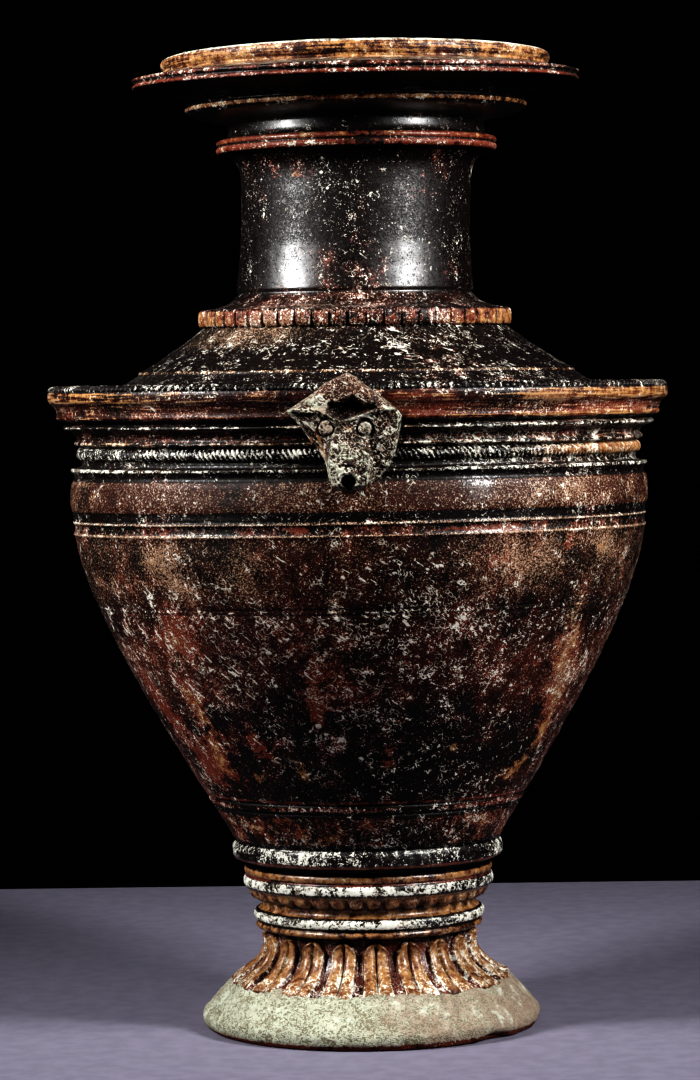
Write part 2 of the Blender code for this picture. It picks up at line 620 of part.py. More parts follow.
def glaze_material():
    """Dark brown glossy ash glaze."""
    material = bpy.data.materials.new("Glaze")
    material.use_nodes = True
    shader = material.node_tree.nodes["Principled BSDF"]
    shader.inputs["Base Color"].default_value = GLAZE
    shader.inputs["Roughness"].default_value = 0.28
    shader.inputs["Metallic"].default_value = 0.0
    return material


def build_jar():
    """The whole jar as one object named PedestalJar."""
    jar_collection = bpy.data.collections.new("Pedestal Jar")
    tool_collection = bpy.data.collections.new("Jar Tools")
    bpy.context.scene.collection.children.link(jar_collection)
    bpy.context.scene.collection.children.link(tool_collection)

    outside = rim_profile() + shoulder_profile() + flange_profile()
    outside += belly_curve(BELLY_POINTS) + foot_profile()
    jar = turned("PedestalJar", outside, TURN_STEPS, jar_collection)
    jar.data.materials.append(glaze_material())

    added, removed = head_parts(tool_collection)
    added.append(petal_crown(tool_collection))
    removed.append(foot_chip(tool_collection))
    removed.append(turned("Inside", hollow_profile(), HOLLOW_STEPS, tool_collection))
    for tool in added:
        combine(jar, tool, "UNION")
    for tool in removed:
        combine(jar, tool, "DIFFERENCE")
    return jar


def clear_scene():
    """Remove the scene's objects before building."""
    for item in list(bpy.data.objects):
        bpy.data.objects.remove(item, do_unlink=True)


if __name__ == "__main__":
    clear_scene()
    build_jar()
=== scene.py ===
"""Looks for a glazed stoneware jar on a fluted foot, with an animal head on its shoulder flange.

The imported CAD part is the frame. Every piece here is a finer skin over the same single jar:
the turned body in bands, the notched rings, the petalled foot and the applied head, all under
one procedural glaze with its thin places, lime crust, scratches and wear. Metres, +Z up, and
the head looks along -Y. Angles round the jar run from the head, positive to its right as seen.
"""

import math

import bpy
import numpy as np
from mathutils import Matrix


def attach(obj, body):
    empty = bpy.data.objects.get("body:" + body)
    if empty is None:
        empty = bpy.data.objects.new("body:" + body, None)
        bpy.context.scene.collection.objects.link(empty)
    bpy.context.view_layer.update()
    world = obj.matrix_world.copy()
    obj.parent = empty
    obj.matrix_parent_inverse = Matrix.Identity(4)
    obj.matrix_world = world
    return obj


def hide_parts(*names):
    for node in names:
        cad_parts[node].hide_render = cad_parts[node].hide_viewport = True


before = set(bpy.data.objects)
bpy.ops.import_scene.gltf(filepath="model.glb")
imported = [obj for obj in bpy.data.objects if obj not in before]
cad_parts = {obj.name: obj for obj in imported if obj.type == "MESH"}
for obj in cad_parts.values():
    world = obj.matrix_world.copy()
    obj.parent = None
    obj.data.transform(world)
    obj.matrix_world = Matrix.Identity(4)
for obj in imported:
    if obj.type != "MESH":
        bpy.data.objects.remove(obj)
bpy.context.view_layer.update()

bl_info = {
    "name": "Glazed Pedestal Jar",
    "version": (1, 0, 0),
    "blender": (4, 5, 0),
    "location": "3D View > Sidebar > Jar",
    "description": "Builds a glazed pedestal jar with its rings, petals, head and photo stage",
    "category": "Add Mesh",
}

NODE = "PedestalJar"
MM = 0.001

# Levels of the turned profile, in millimetres
SEAM_NECK = 366.0
SEAM_WAIST = 292.4
SEAM_FOOT = 96.0
SEAM_STEM = 51.0
FLANGE_RADIUS = 159.7
NECK_RADIUS = 59.4
STEM_RADIUS = 53.0
PETAL_COUNT = 20
PETAL_RELIEF = 3.3
TOE_HEIGHT = 24.0
PETAL_HEIGHT = 26.2
BEAD_NOTCHES = 276
CORD_STRANDS = 348
FRILL_SCALLOPS = 38
BAND_NOTCHES = 55
NECK_RING_NOTCHES = 190


def smooth(value, low=0.0, high=1.0):
    """Ease from 0 to 1 as value goes from low to high."""
    share = np.clip((value - low) / (high - low), 0.0, 1.0)
    return share * share * (3.0 - 2.0 * share)


def between(value, low, high, soft):
    """1 from low to high, easing to 0 over soft outside."""
    return smooth(value, low - soft, low) * (1.0 - smooth(value, high, high + soft))


def bump_at(value, middle, half):
    """A round bump, 1 at the middle and 0 half away."""
    share = np.clip(1.0 - np.abs(value - middle) / half, 0.0, 1.0)
    return share * share * (3.0 - 2.0 * share)


LATTICE = np.random.default_rng(11).random((64, 64, 64))


def lumps(points, size, seed):
    """Smooth seeded noise from -1 to 1 over points, with lumps about size across."""
    spot = points / size + 7.31 * (seed + 1)
    cell = np.floor(spot).astype(int)
    part = spot - cell
    part = part * part * (3.0 - 2.0 * part)
    total = np.zeros(points.shape[:-1])
    for corner in range(8):
        step = ((corner >> 2) & 1, (corner >> 1) & 1, corner & 1)
        weight = np.ones(points.shape[:-1])
        for axis in (0, 1, 2):
            weight = weight * (part[..., axis] if step[axis] else 1.0 - part[..., axis])
        index = [(cell[..., axis] + step[axis]) % 64 for axis in (0, 1, 2)]
        total += weight * LATTICE[index[0], index[1], index[2]]
    return 2.0 * total - 1.0


def rough(points, size, seed, layers=3):
    """Several layers of lumps, each half the size and half the height of the one before."""
    total = np.zeros(points.shape[:-1])
    for layer in range(layers):
        total += 0.5 ** layer * lumps(points, size * 0.5 ** layer, seed + layer)
    return total


def bezier(start, pull_start, pull_end, end, count):
    """Points along a Bezier curve, with both ends."""
    share = np.linspace(0.0, 1.0, count)[:, None]
    rest = 1.0 - share
    corners = [np.array(point, float) for point in (start, pull_start, pull_end, end)]
    found = rest ** 3 * corners[0] + 3 * rest ** 2 * share * corners[1]
    found = found + 3 * rest * share ** 2 * corners[2] + share ** 3 * corners[3]
    return [tuple(point) for point in found]


def soften(points, longest, passes=2):
    """Cut the corners of an open profile, then split what is longer than longest."""
    found = np.array(points, float)
    for _ in range(passes):
        near = 0.78 * found[:-1] + 0.22 * found[1:]
        far = 0.22 * found[:-1] + 0.78 * found[1:]
        middle = np.stack([near, far], axis=1).reshape(-1, 2)
        found = np.vstack([found[:1], middle[1:-1], found[-1:]])
    kept = [found[0]]
    for point in found[1:]:
        gap = np.linalg.norm(point - kept[-1])
        if gap < 0.44:
            continue
        pieces = int(math.ceil(gap / longest))
        start = kept[-1]
        for index in range(1, pieces + 1):
            kept.append(start + (point - start) * index / pieces)
    kept[-1] = found[-1]
    return np.array(kept)


def rim_outline():
    """Lip, rim flange, knife edge, cup, neck ring and neck, from the mouth down."""
    return [
        (90.2, 497.6), (90.6, 499.3), (92.0, 500.0), (97.6, 500.0), (99.6, 499.3), (100.4, 497.6),
        (100.1, 495.6), (99.0, 494.6), (98.4, 494.0), (98.8, 493.3), (100.4, 492.9), (105.0, 492.2),
        (112.6, 491.0), (114.9, 490.7), (115.6, 489.9), (115.3, 488.9), (113.9, 488.1),
        (114.2, 487.3), (115.4, 486.6), (115.3, 485.5), (113.6, 484.9), (108.0, 484.5),
        (99.7, 483.2), (91.4, 479.9), (86.8, 476.9), (86.4, 475.6), (88.2, 474.8), (88.4, 473.4),
        (87.0, 471.4), (83.0, 469.9), (74.0, 468.0), (68.0, 466.8), (65.9, 465.6), (65.8, 463.4),
        (66.2, 461.0), (67.2, 459.0), (69.0, 458.0), (71.4, 457.6), (72.3, 456.6), (72.0, 455.3),
        (71.0, 454.5), (72.1, 453.7), (72.6, 452.3), (71.8, 450.9), (69.4, 450.1), (66.2, 449.8),
        (64.0, 448.3), (60.9, 444.9),
        (59.6, 439.9), (59.2, 432.0), (59.1, 408.0), (59.7, 395.0), (61.0, 381.4), (61.1, 380.2),
        (60.3, 379.4), (60.3, 378.4), (61.6, 377.2), (64.4, 374.2), (70.0, 371.8), (78.4, 370.3),
        (79.6, 369.0), (79.6, 366.0)]


def shoulder_outline():
    """Neck band, shoulder, flange and the mouldings below it, from the seam in the band."""
    points = [(79.6, 367.0), (79.6, 362.9), (78.2, 361.9), (79.2, 360.9)]
    points += bezier((79.8, 360.6), (85.3, 353.7), (108.7, 340.5), (111.4, 338.9), 9)
    points += [(112.3, 338.3), (112.4, 337.2), (113.6, 336.4), (120.0, 332.3), (125.6, 329.3),
               (129.0, 328.8), (146.6, 328.8), (149.4, 328.9), (151.2, 330.0), (154.8, 331.0),
               (158.0, 330.2), (159.6, 328.6), (159.7, 326.6), (159.3, 324.4), (158.0, 323.0),
               (156.3, 321.6), (155.3, 319.6), (154.9, 317.6), (155.2, 316.4), (154.6, 315.2),
               (152.4, 314.2), (149.6, 313.6), (148.9, 312.6), (151.4, 312.2), (152.2, 310.9),
               (151.4, 309.9), (148.6, 309.2), (146.2, 308.0), (145.0, 306.2),
               (145.2, 304.6), (146.4, 303.8), (146.4, 302.6), (144.6, 301.8), (142.6, 301.0), (142.4, 298.0), (143.0, 295.0), (142.5, 294.0),
               (142.5, SEAM_WAIST - 0.6)]
    return points


def belly_outline():
    """Band ridge, band, grooves and belly, down to the top foot ring."""
    points = [(142.5, SEAM_WAIST + 0.5), (142.7, 291.2), (144.8, 290.5), (148.2, 290.3),
              (148.6, 289.1), (147.8, 288.0), (146.7, 286.9), (146.6, 284.8), (147.4, 284.1), (148.3, 281.0),
              (148.7, 273.0), (148.3, 269.0), (147.5, 268.0), (147.1, 265.2), (146.8, 264.3), (147.5, 263.3),
              (147.3, 262.4), (146.6, 261.6), (146.5, 258.2), (147.3, 257.3), (146.8, 256.4)]
    high = (146.6, 256.4)
    low = (68.3, 96.4)
    fine = soften(points, 1.6)
    # The belly itself is resampled, with close rows at its grooves
    levels = [255.6 - 2.6 * step for step in range(62) if 255.6 - 2.6 * step > 97.0]
    for level in (220.6, 217.9, 120.4, 115.6):
        levels += [level + offset for offset in (-1.6, -0.9, -0.4, 0.0, 0.4, 0.9, 1.6)]
    levels = sorted(set(levels), reverse=True)
    smooth_curve = np.array(bezier(high, (142.2, 211.8), (85.5, 126.4), low, 240))
    rows = []
    for level in levels:
        radius = np.interp(level, smooth_curve[::-1, 1], smooth_curve[::-1, 0])
        for groove, depth in ((220.6, 0.35), (217.9, 0.28), (120.4, 1.0), (115.6, 0.9)):
            radius -= depth * float(bump_at(np.array(level), groove, 1.1))
        rows.append((radius, level))
    rows.append((68.3, 96.4))
    return np.vstack([fine, np.array(rows)])


def ring_outline():
    """The stack of rings between belly and petals."""
    return [(68.0, 97.2), (68.5, 96.2), (69.6, 95.0), (69.9, 92.6), (69.9, 89.6), (69.4, 88.2),
            (68.0, 87.4), (66.0, 87.0), (62.6, 86.6), (61.8, 85.2), (62.4, 83.8), (63.8, 83.2),
            (64.3, 81.6), (63.8, 80.0), (62.9, 79.3), (63.4, 78.6), (64.4, 77.6), (64.6, 75.4),
            (64.2, 73.4), (62.8, 72.0), (61.6, 71.3), (61.4, 69.8), (60.4, 68.0), (57.9, 66.8),
            (56.2, 66.2), (55.5, 64.8), (55.5, 63.0), (56.6, 61.8), (58.6, 61.0), (59.6, 59.6),
            (59.7, 57.6), (59.2, 56.0), (57.6, 55.5), (57.2, 54.9), (58.3, 54.2), (58.8, 53.0),
            (58.2, 51.8), (56.2, 51.0), (53.0, 50.4), (52.0, 49.8)]


def close_ring(outside, inside):
    """One closed loop of rows from an outside profile and the inside one below it."""
    return np.vstack([outside, np.array(inside, float)])


def profile_normals(rows, wrapped):
    """The outward direction of each row of a profile that runs top to bottom."""
    ahead = np.roll(rows, -1, axis=0)
    behind = np.roll(rows, 1, axis=0)
    if not wrapped:
        ahead[-1] = rows[-1]
        behind[0] = rows[0]
    along = ahead - behind
    length = np.maximum(np.linalg.norm(along, axis=1), 1e-6)
    return np.stack([-along[:, 1] / length, along[:, 0] / length], axis=1)


def hand_sway(points):
    """Move points as the potter's hand did: the axis wanders, flange and rim dip and slump forward."""
    height = points[..., 2]
    levels = (0.0, 180.0, 262.0, 290.0, 325.0, 365.0, 410.0, 455.0, 500.0)
    drift = np.interp(height, levels, (0.0, -0.8, -1.7, -1.7, -1.7, -2.5, -1.2, 0.0, 0.0))
    dip = np.interp(height, levels, (0.0, 0.0, 0.10, -0.10, -0.33, -0.35, -0.15, -0.02, 0.35))
    slump = np.interp(height, (0.0, 60.0, 118.0, 220.0, 292.0, 300.0, 331.0, 338.0, 345.0, 476.0, 483.0, 492.0, 498.0),
                      (0.0, -0.3, -1.0, -0.6, 0.1, 0.5, 0.5, 0.5, 1.2, 1.2, 2.2, 2.2, 0.6))
    moved = points.copy()
    moved[..., 2] += points[..., 0] * np.tan(np.radians(dip)) + points[..., 1] * np.tan(np.radians(slump))
    moved[..., 0] += drift
    return moved


def make_piece(name, points, faces, marks, material):
    """A smooth-shaded object from points in millimetres, with its marks as vertex attributes."""
    mesh = bpy.data.meshes.new(name)
    mesh.from_pydata((points.reshape(-1, 3) * MM).tolist(), [], faces)
    mesh.validate()
    for mark, values in marks.items():
        layer = mesh.attributes.new(mark, "FLOAT", "POINT")
        layer.data.foreach_set("value", np.ascontiguousarray(values.reshape(-1), np.float32))
    mesh.shade_smooth()
    mesh.materials.append(material)
    piece = bpy.data.objects.new(name, mesh)
    bpy.context.scene.collection.objects.link(piece)
    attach(piece, "root")
    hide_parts(NODE)
    return piece


def ring_faces(rows, columns, wrapped):
    """Quads over a grid that wraps round the jar, and along the profile too where wrapped."""
    down = np.arange(rows if wrapped else rows - 1)[:, None]
    across = np.arange(columns)[None, :]
    below = (down + 1) % rows
    beside = (across + 1) % columns
    quads = np.stack([down * columns + across, below * columns + across,
                      below * columns + beside, down * columns + beside], axis=-1)
    return quads.reshape(-1, 4).tolist()


def turn_piece(name, rows, columns, relief, paint, material, wrapped=True):
    """Turn a profile round the axis, push it out by relief and paint its marks."""
    angle = np.linspace(0.0, math.tau, columns, endpoint=False)[None, :]
    radius = rows[:, 0][:, None] + 0.0 * angle
    height = rows[:, 1][:, None] + 0.0 * angle
    angle = angle + 0.0 * radius
    normals = profile_normals(rows, wrapped)
    before = np.stack([radius * np.sin(angle), -radius * np.cos(angle), height], axis=-1)
    push = relief(angle, radius, height, before)
    radius = radius + normals[:, 0][:, None] * push
    height = height + normals[:, 1][:, None] * push
    points = np.stack([radius * np.sin(angle), -radius * np.cos(angle), height], axis=-1)
    marks = paint(angle, radius, height, before)
    points = hand_sway(points)
    faces = ring_faces(len(rows), columns, wrapped)
    if not wrapped:
        count = len(rows) * columns
        top = points[0].mean(axis=0)
        bottom = points[-1].mean(axis=0)
        points = np.vstack([points.reshape(-1, 3), top, bottom])
        last = (len(rows) - 1) * columns
        for column in range(columns):
            after = (column + 1) % columns
            faces.append((count, column, after))
            faces.append((count + 1, last + after, last + column))
        marks = {mark: np.append(values.reshape(-1), [values[0].mean(), values[-1].mean()])
                 for mark, values in marks.items()}
    return make_piece(name, points, faces, marks, material)


def outside_only(radius, height):
    """1 on the outside skin and 0 on the walls of the hollow."""
    levels = (26.0, 38.0, 71.0, 96.4, 120.0, 180.0, 261.8, 301.0, 320.0, 330.0, 345.0,
              360.0, 383.0, 450.0, 460.0, 476.0, 485.0, 494.8, 500.0)
    inner = (34.0, 42.0, 42.0, 60.0, 76.0, 112.0, 139.8, 136.0, 125.0, 114.0, 92.0,
             74.0, 53.5, 53.5, 58.0, 73.5, 86.0, 90.0, 90.8)
    return smooth(radius - np.interp(height, levels, inner), -0.4, 0.8)


def clay_relief(angle, radius, height, points):
    """Throwing rings, slow wobble and lumps of hand-turned clay under thick glaze."""
    outer = outside_only(radius, height)
    push = 0.10 * np.sin(height / 1.31 + 0.6 * np.sin(angle + 1.0))
    push = push + 0.14 * np.sin(height / 2.9 + 0.9 * np.sin(2.0 * angle))
    push = push * smooth(lumps(points, 45.0, 3), -0.7, 0.8) * (1.0 - 0.8 * between(height, 380.0, 450.0, 4.0))
    push = push + 0.16 * lumps(points, 26.0, 5) + 0.07 * rough(points, 6.0, 8)
    push = push + 0.35 * np.sin(2.0 * angle + height / 60.0) * smooth(radius, 60.0, 140.0)
    return push * (0.35 + 0.65 * outer)


def blot(angle, radius, height, where):
    """A soft patch at (degrees from the head, height, half width, half height, lean)."""
    degrees, level, half_width, half_height, lean = where
    turn = (angle - math.radians(degrees) + math.pi) % math.tau - math.pi
    across = turn * radius - lean * (height - level)
    return np.exp(-(across / half_width) ** 2 - ((height - level) / half_height) ** 2)


# How much of each mark the whole outside has before its bands and blots
BASE_MARKS = {"Brown": 0.22, "Tan": 0.06, "Amber": 0.0, "Red": 0.16, "Crust": 0.02, "Specks": 0.30,
              "Scratch": 0.26, "Gloss": 0.16, "Combed": 0.0, "Shade": 0.0}

# Bands: low and high level, softness, least radius, where they show, and what they add to the marks
GLAZE_BANDS = (
    # Lip, rim and its underside: plain black glaze below, with painted shade under the flange added in glaze_marks
    (498.5, 500.6, 0.3, 89.0, "all", {"Crust": 0.72, "Amber": 0.3}),
    (492.6, 499.4, 0.4, 97.0, "all", {"Amber": 0.56, "Red": 0.26, "Brown": 0.4, "Crust": 0.04, "Combed": 0.6}),
    (490.9, 493.2, 0.2, 100.6, "all", {"Crust": 0.30, "Tan": 0.4, "Gloss": 0.3}),
    (489.0, 490.6, 0.3, 113.4, "all", {"Crust": 0.34, "Red": 0.36, "Amber": 0.30}),
    (485.3, 487.2, 0.3, 113.4, "all", {"Crust": 0.34, "Red": 0.50, "Amber": 0.10}),
    (474.0, 485.2, 0.4, 0.0, "all", {"Brown": -0.2, "Specks": -0.16, "Red": -0.16, "Scratch": -0.10}),
    (472.6, 474.6, 0.3, 87.2, "all", {"Amber": 0.55, "Red": 0.45, "Crust": 0.30, "Brown": 0.2}),
    (461.0, 471.6, 1.0, 0.0, "all", {"Brown": -0.1, "Specks": 0.0, "Gloss": 0.62, "Red": 0.04}),
    (455.2, 457.6, 0.4, 70.6, "all", {"Amber": 0.40, "Red": 0.60, "Brown": 0.3, "Crust": 0.05, "Gloss": 0.2}),
    (451.0, 453.8, 0.4, 70.6, "all", {"Amber": 0.36, "Red": 0.60, "Brown": 0.3, "Crust": 0.30, "Specks": 0.15}),
    # Neck: glossy, with white dots
    (379.5, 450.0, 2.0, 0.0, "all", {"Specks": -0.02, "Brown": 0.04, "Scratch": -0.04, "Red": 0.06, "Tan": -0.04}),
    (379.5, 400.0, 6.0, 0.0, "all", {"Gloss": 0.54}),
    (403.0, 443.0, 6.0, 0.0, "all", {"Gloss": 0.22, "Specks": 0.06}),
    (370.4, 377.6, 0.8, 0.0, "all", {"Brown": 0.20, "Tan": 0.10, "Specks": 0.12, "Combed": 0.6, "Gloss": 0.10}),
    (362.0, 369.8, 0.4, 79.0, "sides", {"Amber": 0.40, "Red": 0.50, "Brown": 0.3}),
    (362.0, 369.8, 0.4, 79.0, "all", {"Amber": 0.22, "Red": 0.20, "Specks": 0.10, "Crust": 0.06, "Tan": 0.2}),
    # Shoulder: streaked above, black with slanting strokes below, then a thin pale step
    (352.0, 361.0, 2.5, 0.0, "all", {"Tan": 0.12, "Scratch": 0.14, "Specks": 0.04}),
    (352.0, 361.0, 2.5, 0.0, "left", {"Crust": 0.14, "Tan": 0.10}),
    (339.5, 351.0, 1.0, 0.0, "all", {"Scratch": 0.18, "Specks": -0.14, "Brown": -0.1}),
    (337.6, 338.8, 0.2, 110.6, "all", {"Amber": 0.45, "Crust": 0.36, "Tan": 0.4}),
    (331.4, 336.6, 0.6, 0.0, "all", {"Specks": 0.14, "Combed": 0.5}),
    # Flange: pale bead, olive-gold strip, dark red face, thin edge lines
    (323.6, 328.2, 0.8, 157.2, "sides", {"Amber": 0.30, "Tan": 0.10}),
    (323.6, 328.2, 0.8, 157.2, "all", {"Amber": 0.26, "Brown": 0.4, "Gloss": 0.3, "Red": 0.1, "Tan": 0.1}),
    (316.6, 323.4, 0.8, 0.0, "all", {"Red": 0.16, "Brown": 0.46, "Tan": 0.26, "Amber": 0.08, "Specks": 0.04, "Gloss": 0.1}),
    (315.2, 316.4, 0.3, 153.6, "all", {"Amber": 0.30, "Red": 0.2, "Brown": 0.3}),
    (315.0, 317.2, 0.4, 153.6, "right", {"Amber": 0.34, "Red": 0.4}),
    (310.6, 311.8, 0.2, 151.0, "all", {"Amber": 0.34, "Crust": 0.44}),
    (303.0, 328.0, 2.0, 0.0, "all", {"Combed": 1.0}),
    (304.6, 309.6, 0.8, 0.0, "all", {"Brown": 0.20, "Red": 0.14, "Specks": 0.08, "Tan": 0.10}),
    (302.2, 303.9, 0.3, 145.0, "all", {"Amber": 0.42, "Crust": 0.38, "Red": 0.2}),
    (291.6, 301.4, 0.5, 0.0, "all", {"Brown": -0.1, "Gloss": 0.20, "Specks": 0.06, "Scratch": 0.08}),
    (292.0, 314.0, 2.0, 0.0, "right", {"Scratch": 0.24, "Specks": 0.04, "Tan": 0.16}),
    # Band ridge, black groove, grained band, black glossy strip and its two pale lines
    (288.6, 290.4, 0.3, 147.0, "all", {"Crust": 0.52, "Tan": 0.4, "Amber": 0.25}),
    (285.0, 287.6, 0.5, 0.0, "all", {"Brown": -0.2, "Gloss": 0.2}),
    (269.2, 283.6, 0.8, 0.0, "all", {"Brown": 0.50, "Tan": 0.35, "Specks": 0.06, "Red": -0.04}),
    (269.2, 283.6, 1.0, 0.0, "sides", {"Amber": 0.34, "Red": 0.10}),
    (264.8, 268.4, 0.4, 0.0, "all", {"Brown": -0.2, "Gloss": 0.55, "Specks": 0.05}),
    (262.8, 263.8, 0.2, 0.0, "all", {"Crust": 0.46, "Tan": 0.6, "Amber": 0.40}),
    (257.6, 261.6, 0.5, 0.0, "all", {"Brown": -0.05, "Red": 0.16, "Scratch": 0.12, "Gloss": 0.25}),
    (256.9, 257.7, 0.2, 0.0, "all", {"Crust": 0.44, "Tan": 0.5, "Amber": 0.40}),
    # Belly: grained brown above, red-brown haze, nearly black low in the middle
    (236.0, 254.0, 18.0, 0.0, "all", {"Brown": 0.34, "Tan": 0.24, "Scratch": 0.06, "Red": 0.12}),
    (230.0, 254.0, 14.0, 0.0, "sides", {"Tan": 0.12, "Red": 0.10}),
    (219.0, 219.7, 0.2, 0.0, "all", {"Crust": 0.36, "Amber": 0.20}),
    (216.4, 217.0, 0.2, 0.0, "all", {"Crust": 0.30}),
    (180.0, 222.0, 16.0, 0.0, "all", {"Brown": 0.26, "Tan": 0.14, "Red": 0.06, "Scratch": 0.08}),
    (124.0, 200.0, 10.0, 0.0, "sides", {"Red": 0.12, "Brown": 0.28, "Tan": 0.14, "Amber": 0.08}),
    (124.0, 216.0, 10.0, 0.0, "all", {"Scratch": 0.12, "Red": 0.10, "Specks": 0.04, "Brown": 0.1}),
    (121.0, 122.4, 0.3, 0.0, "all", {"Red": 0.4, "Crust": 0.22}),
    (117.0, 119.0, 0.3, 0.0, "all", {"Red": 0.35, "Amber": 0.30, "Crust": 0.34}),
    (98.0, 113.0, 2.0, 0.0, "all", {"Red": 0.36, "Amber": 0.36, "Brown": 0.35, "Scratch": 0.10, "Tan": 0.16}),
    # Foot rings: crusted tops, amber fillets, red lips, and painted shade in the gap under the top ring
    (89.4, 96.2, 0.6, 64.0, "all", {"Crust": 0.52, "Brown": -0.1}),
    (87.2, 88.8, 0.4, 62.0, "all", {"Red": 0.60, "Amber": 0.25}),
    # Painted shade in the gap under the top ring's overhang
    (83.6, 86.4, 0.5, 0.0, "all", {"Shade": 0.6}),
    (80.0, 83.0, 0.4, 60.0, "all", {"Amber": 0.66, "Red": 0.2, "Brown": 0.3}),
    (78.6, 79.6, 0.3, 60.0, "all", {"Red": 0.5}),
    (73.6, 78.2, 0.5, 60.0, "all", {"Crust": 0.68, "Specks": 0.1}),
    (66.8, 72.6, 0.5, 52.0, "all", {"Amber": 0.60, "Red": 0.45, "Brown": 0.5, "Crust": 0.16}),
    (61.6, 65.6, 0.4, 52.0, "all", {"Amber": 0.66, "Red": 0.2, "Brown": 0.3}),
    (56.4, 60.6, 0.5, 52.0, "all", {"Crust": 0.70}),
    (51.2, 54.6, 0.4, 52.0, "all", {"Amber": 0.55, "Brown": 0.4, "Red": 0.2}),
    (50.0, 96.0, 1.0, 0.0, "all", {"Gloss": 0.45, "Scratch": -0.1}),
)

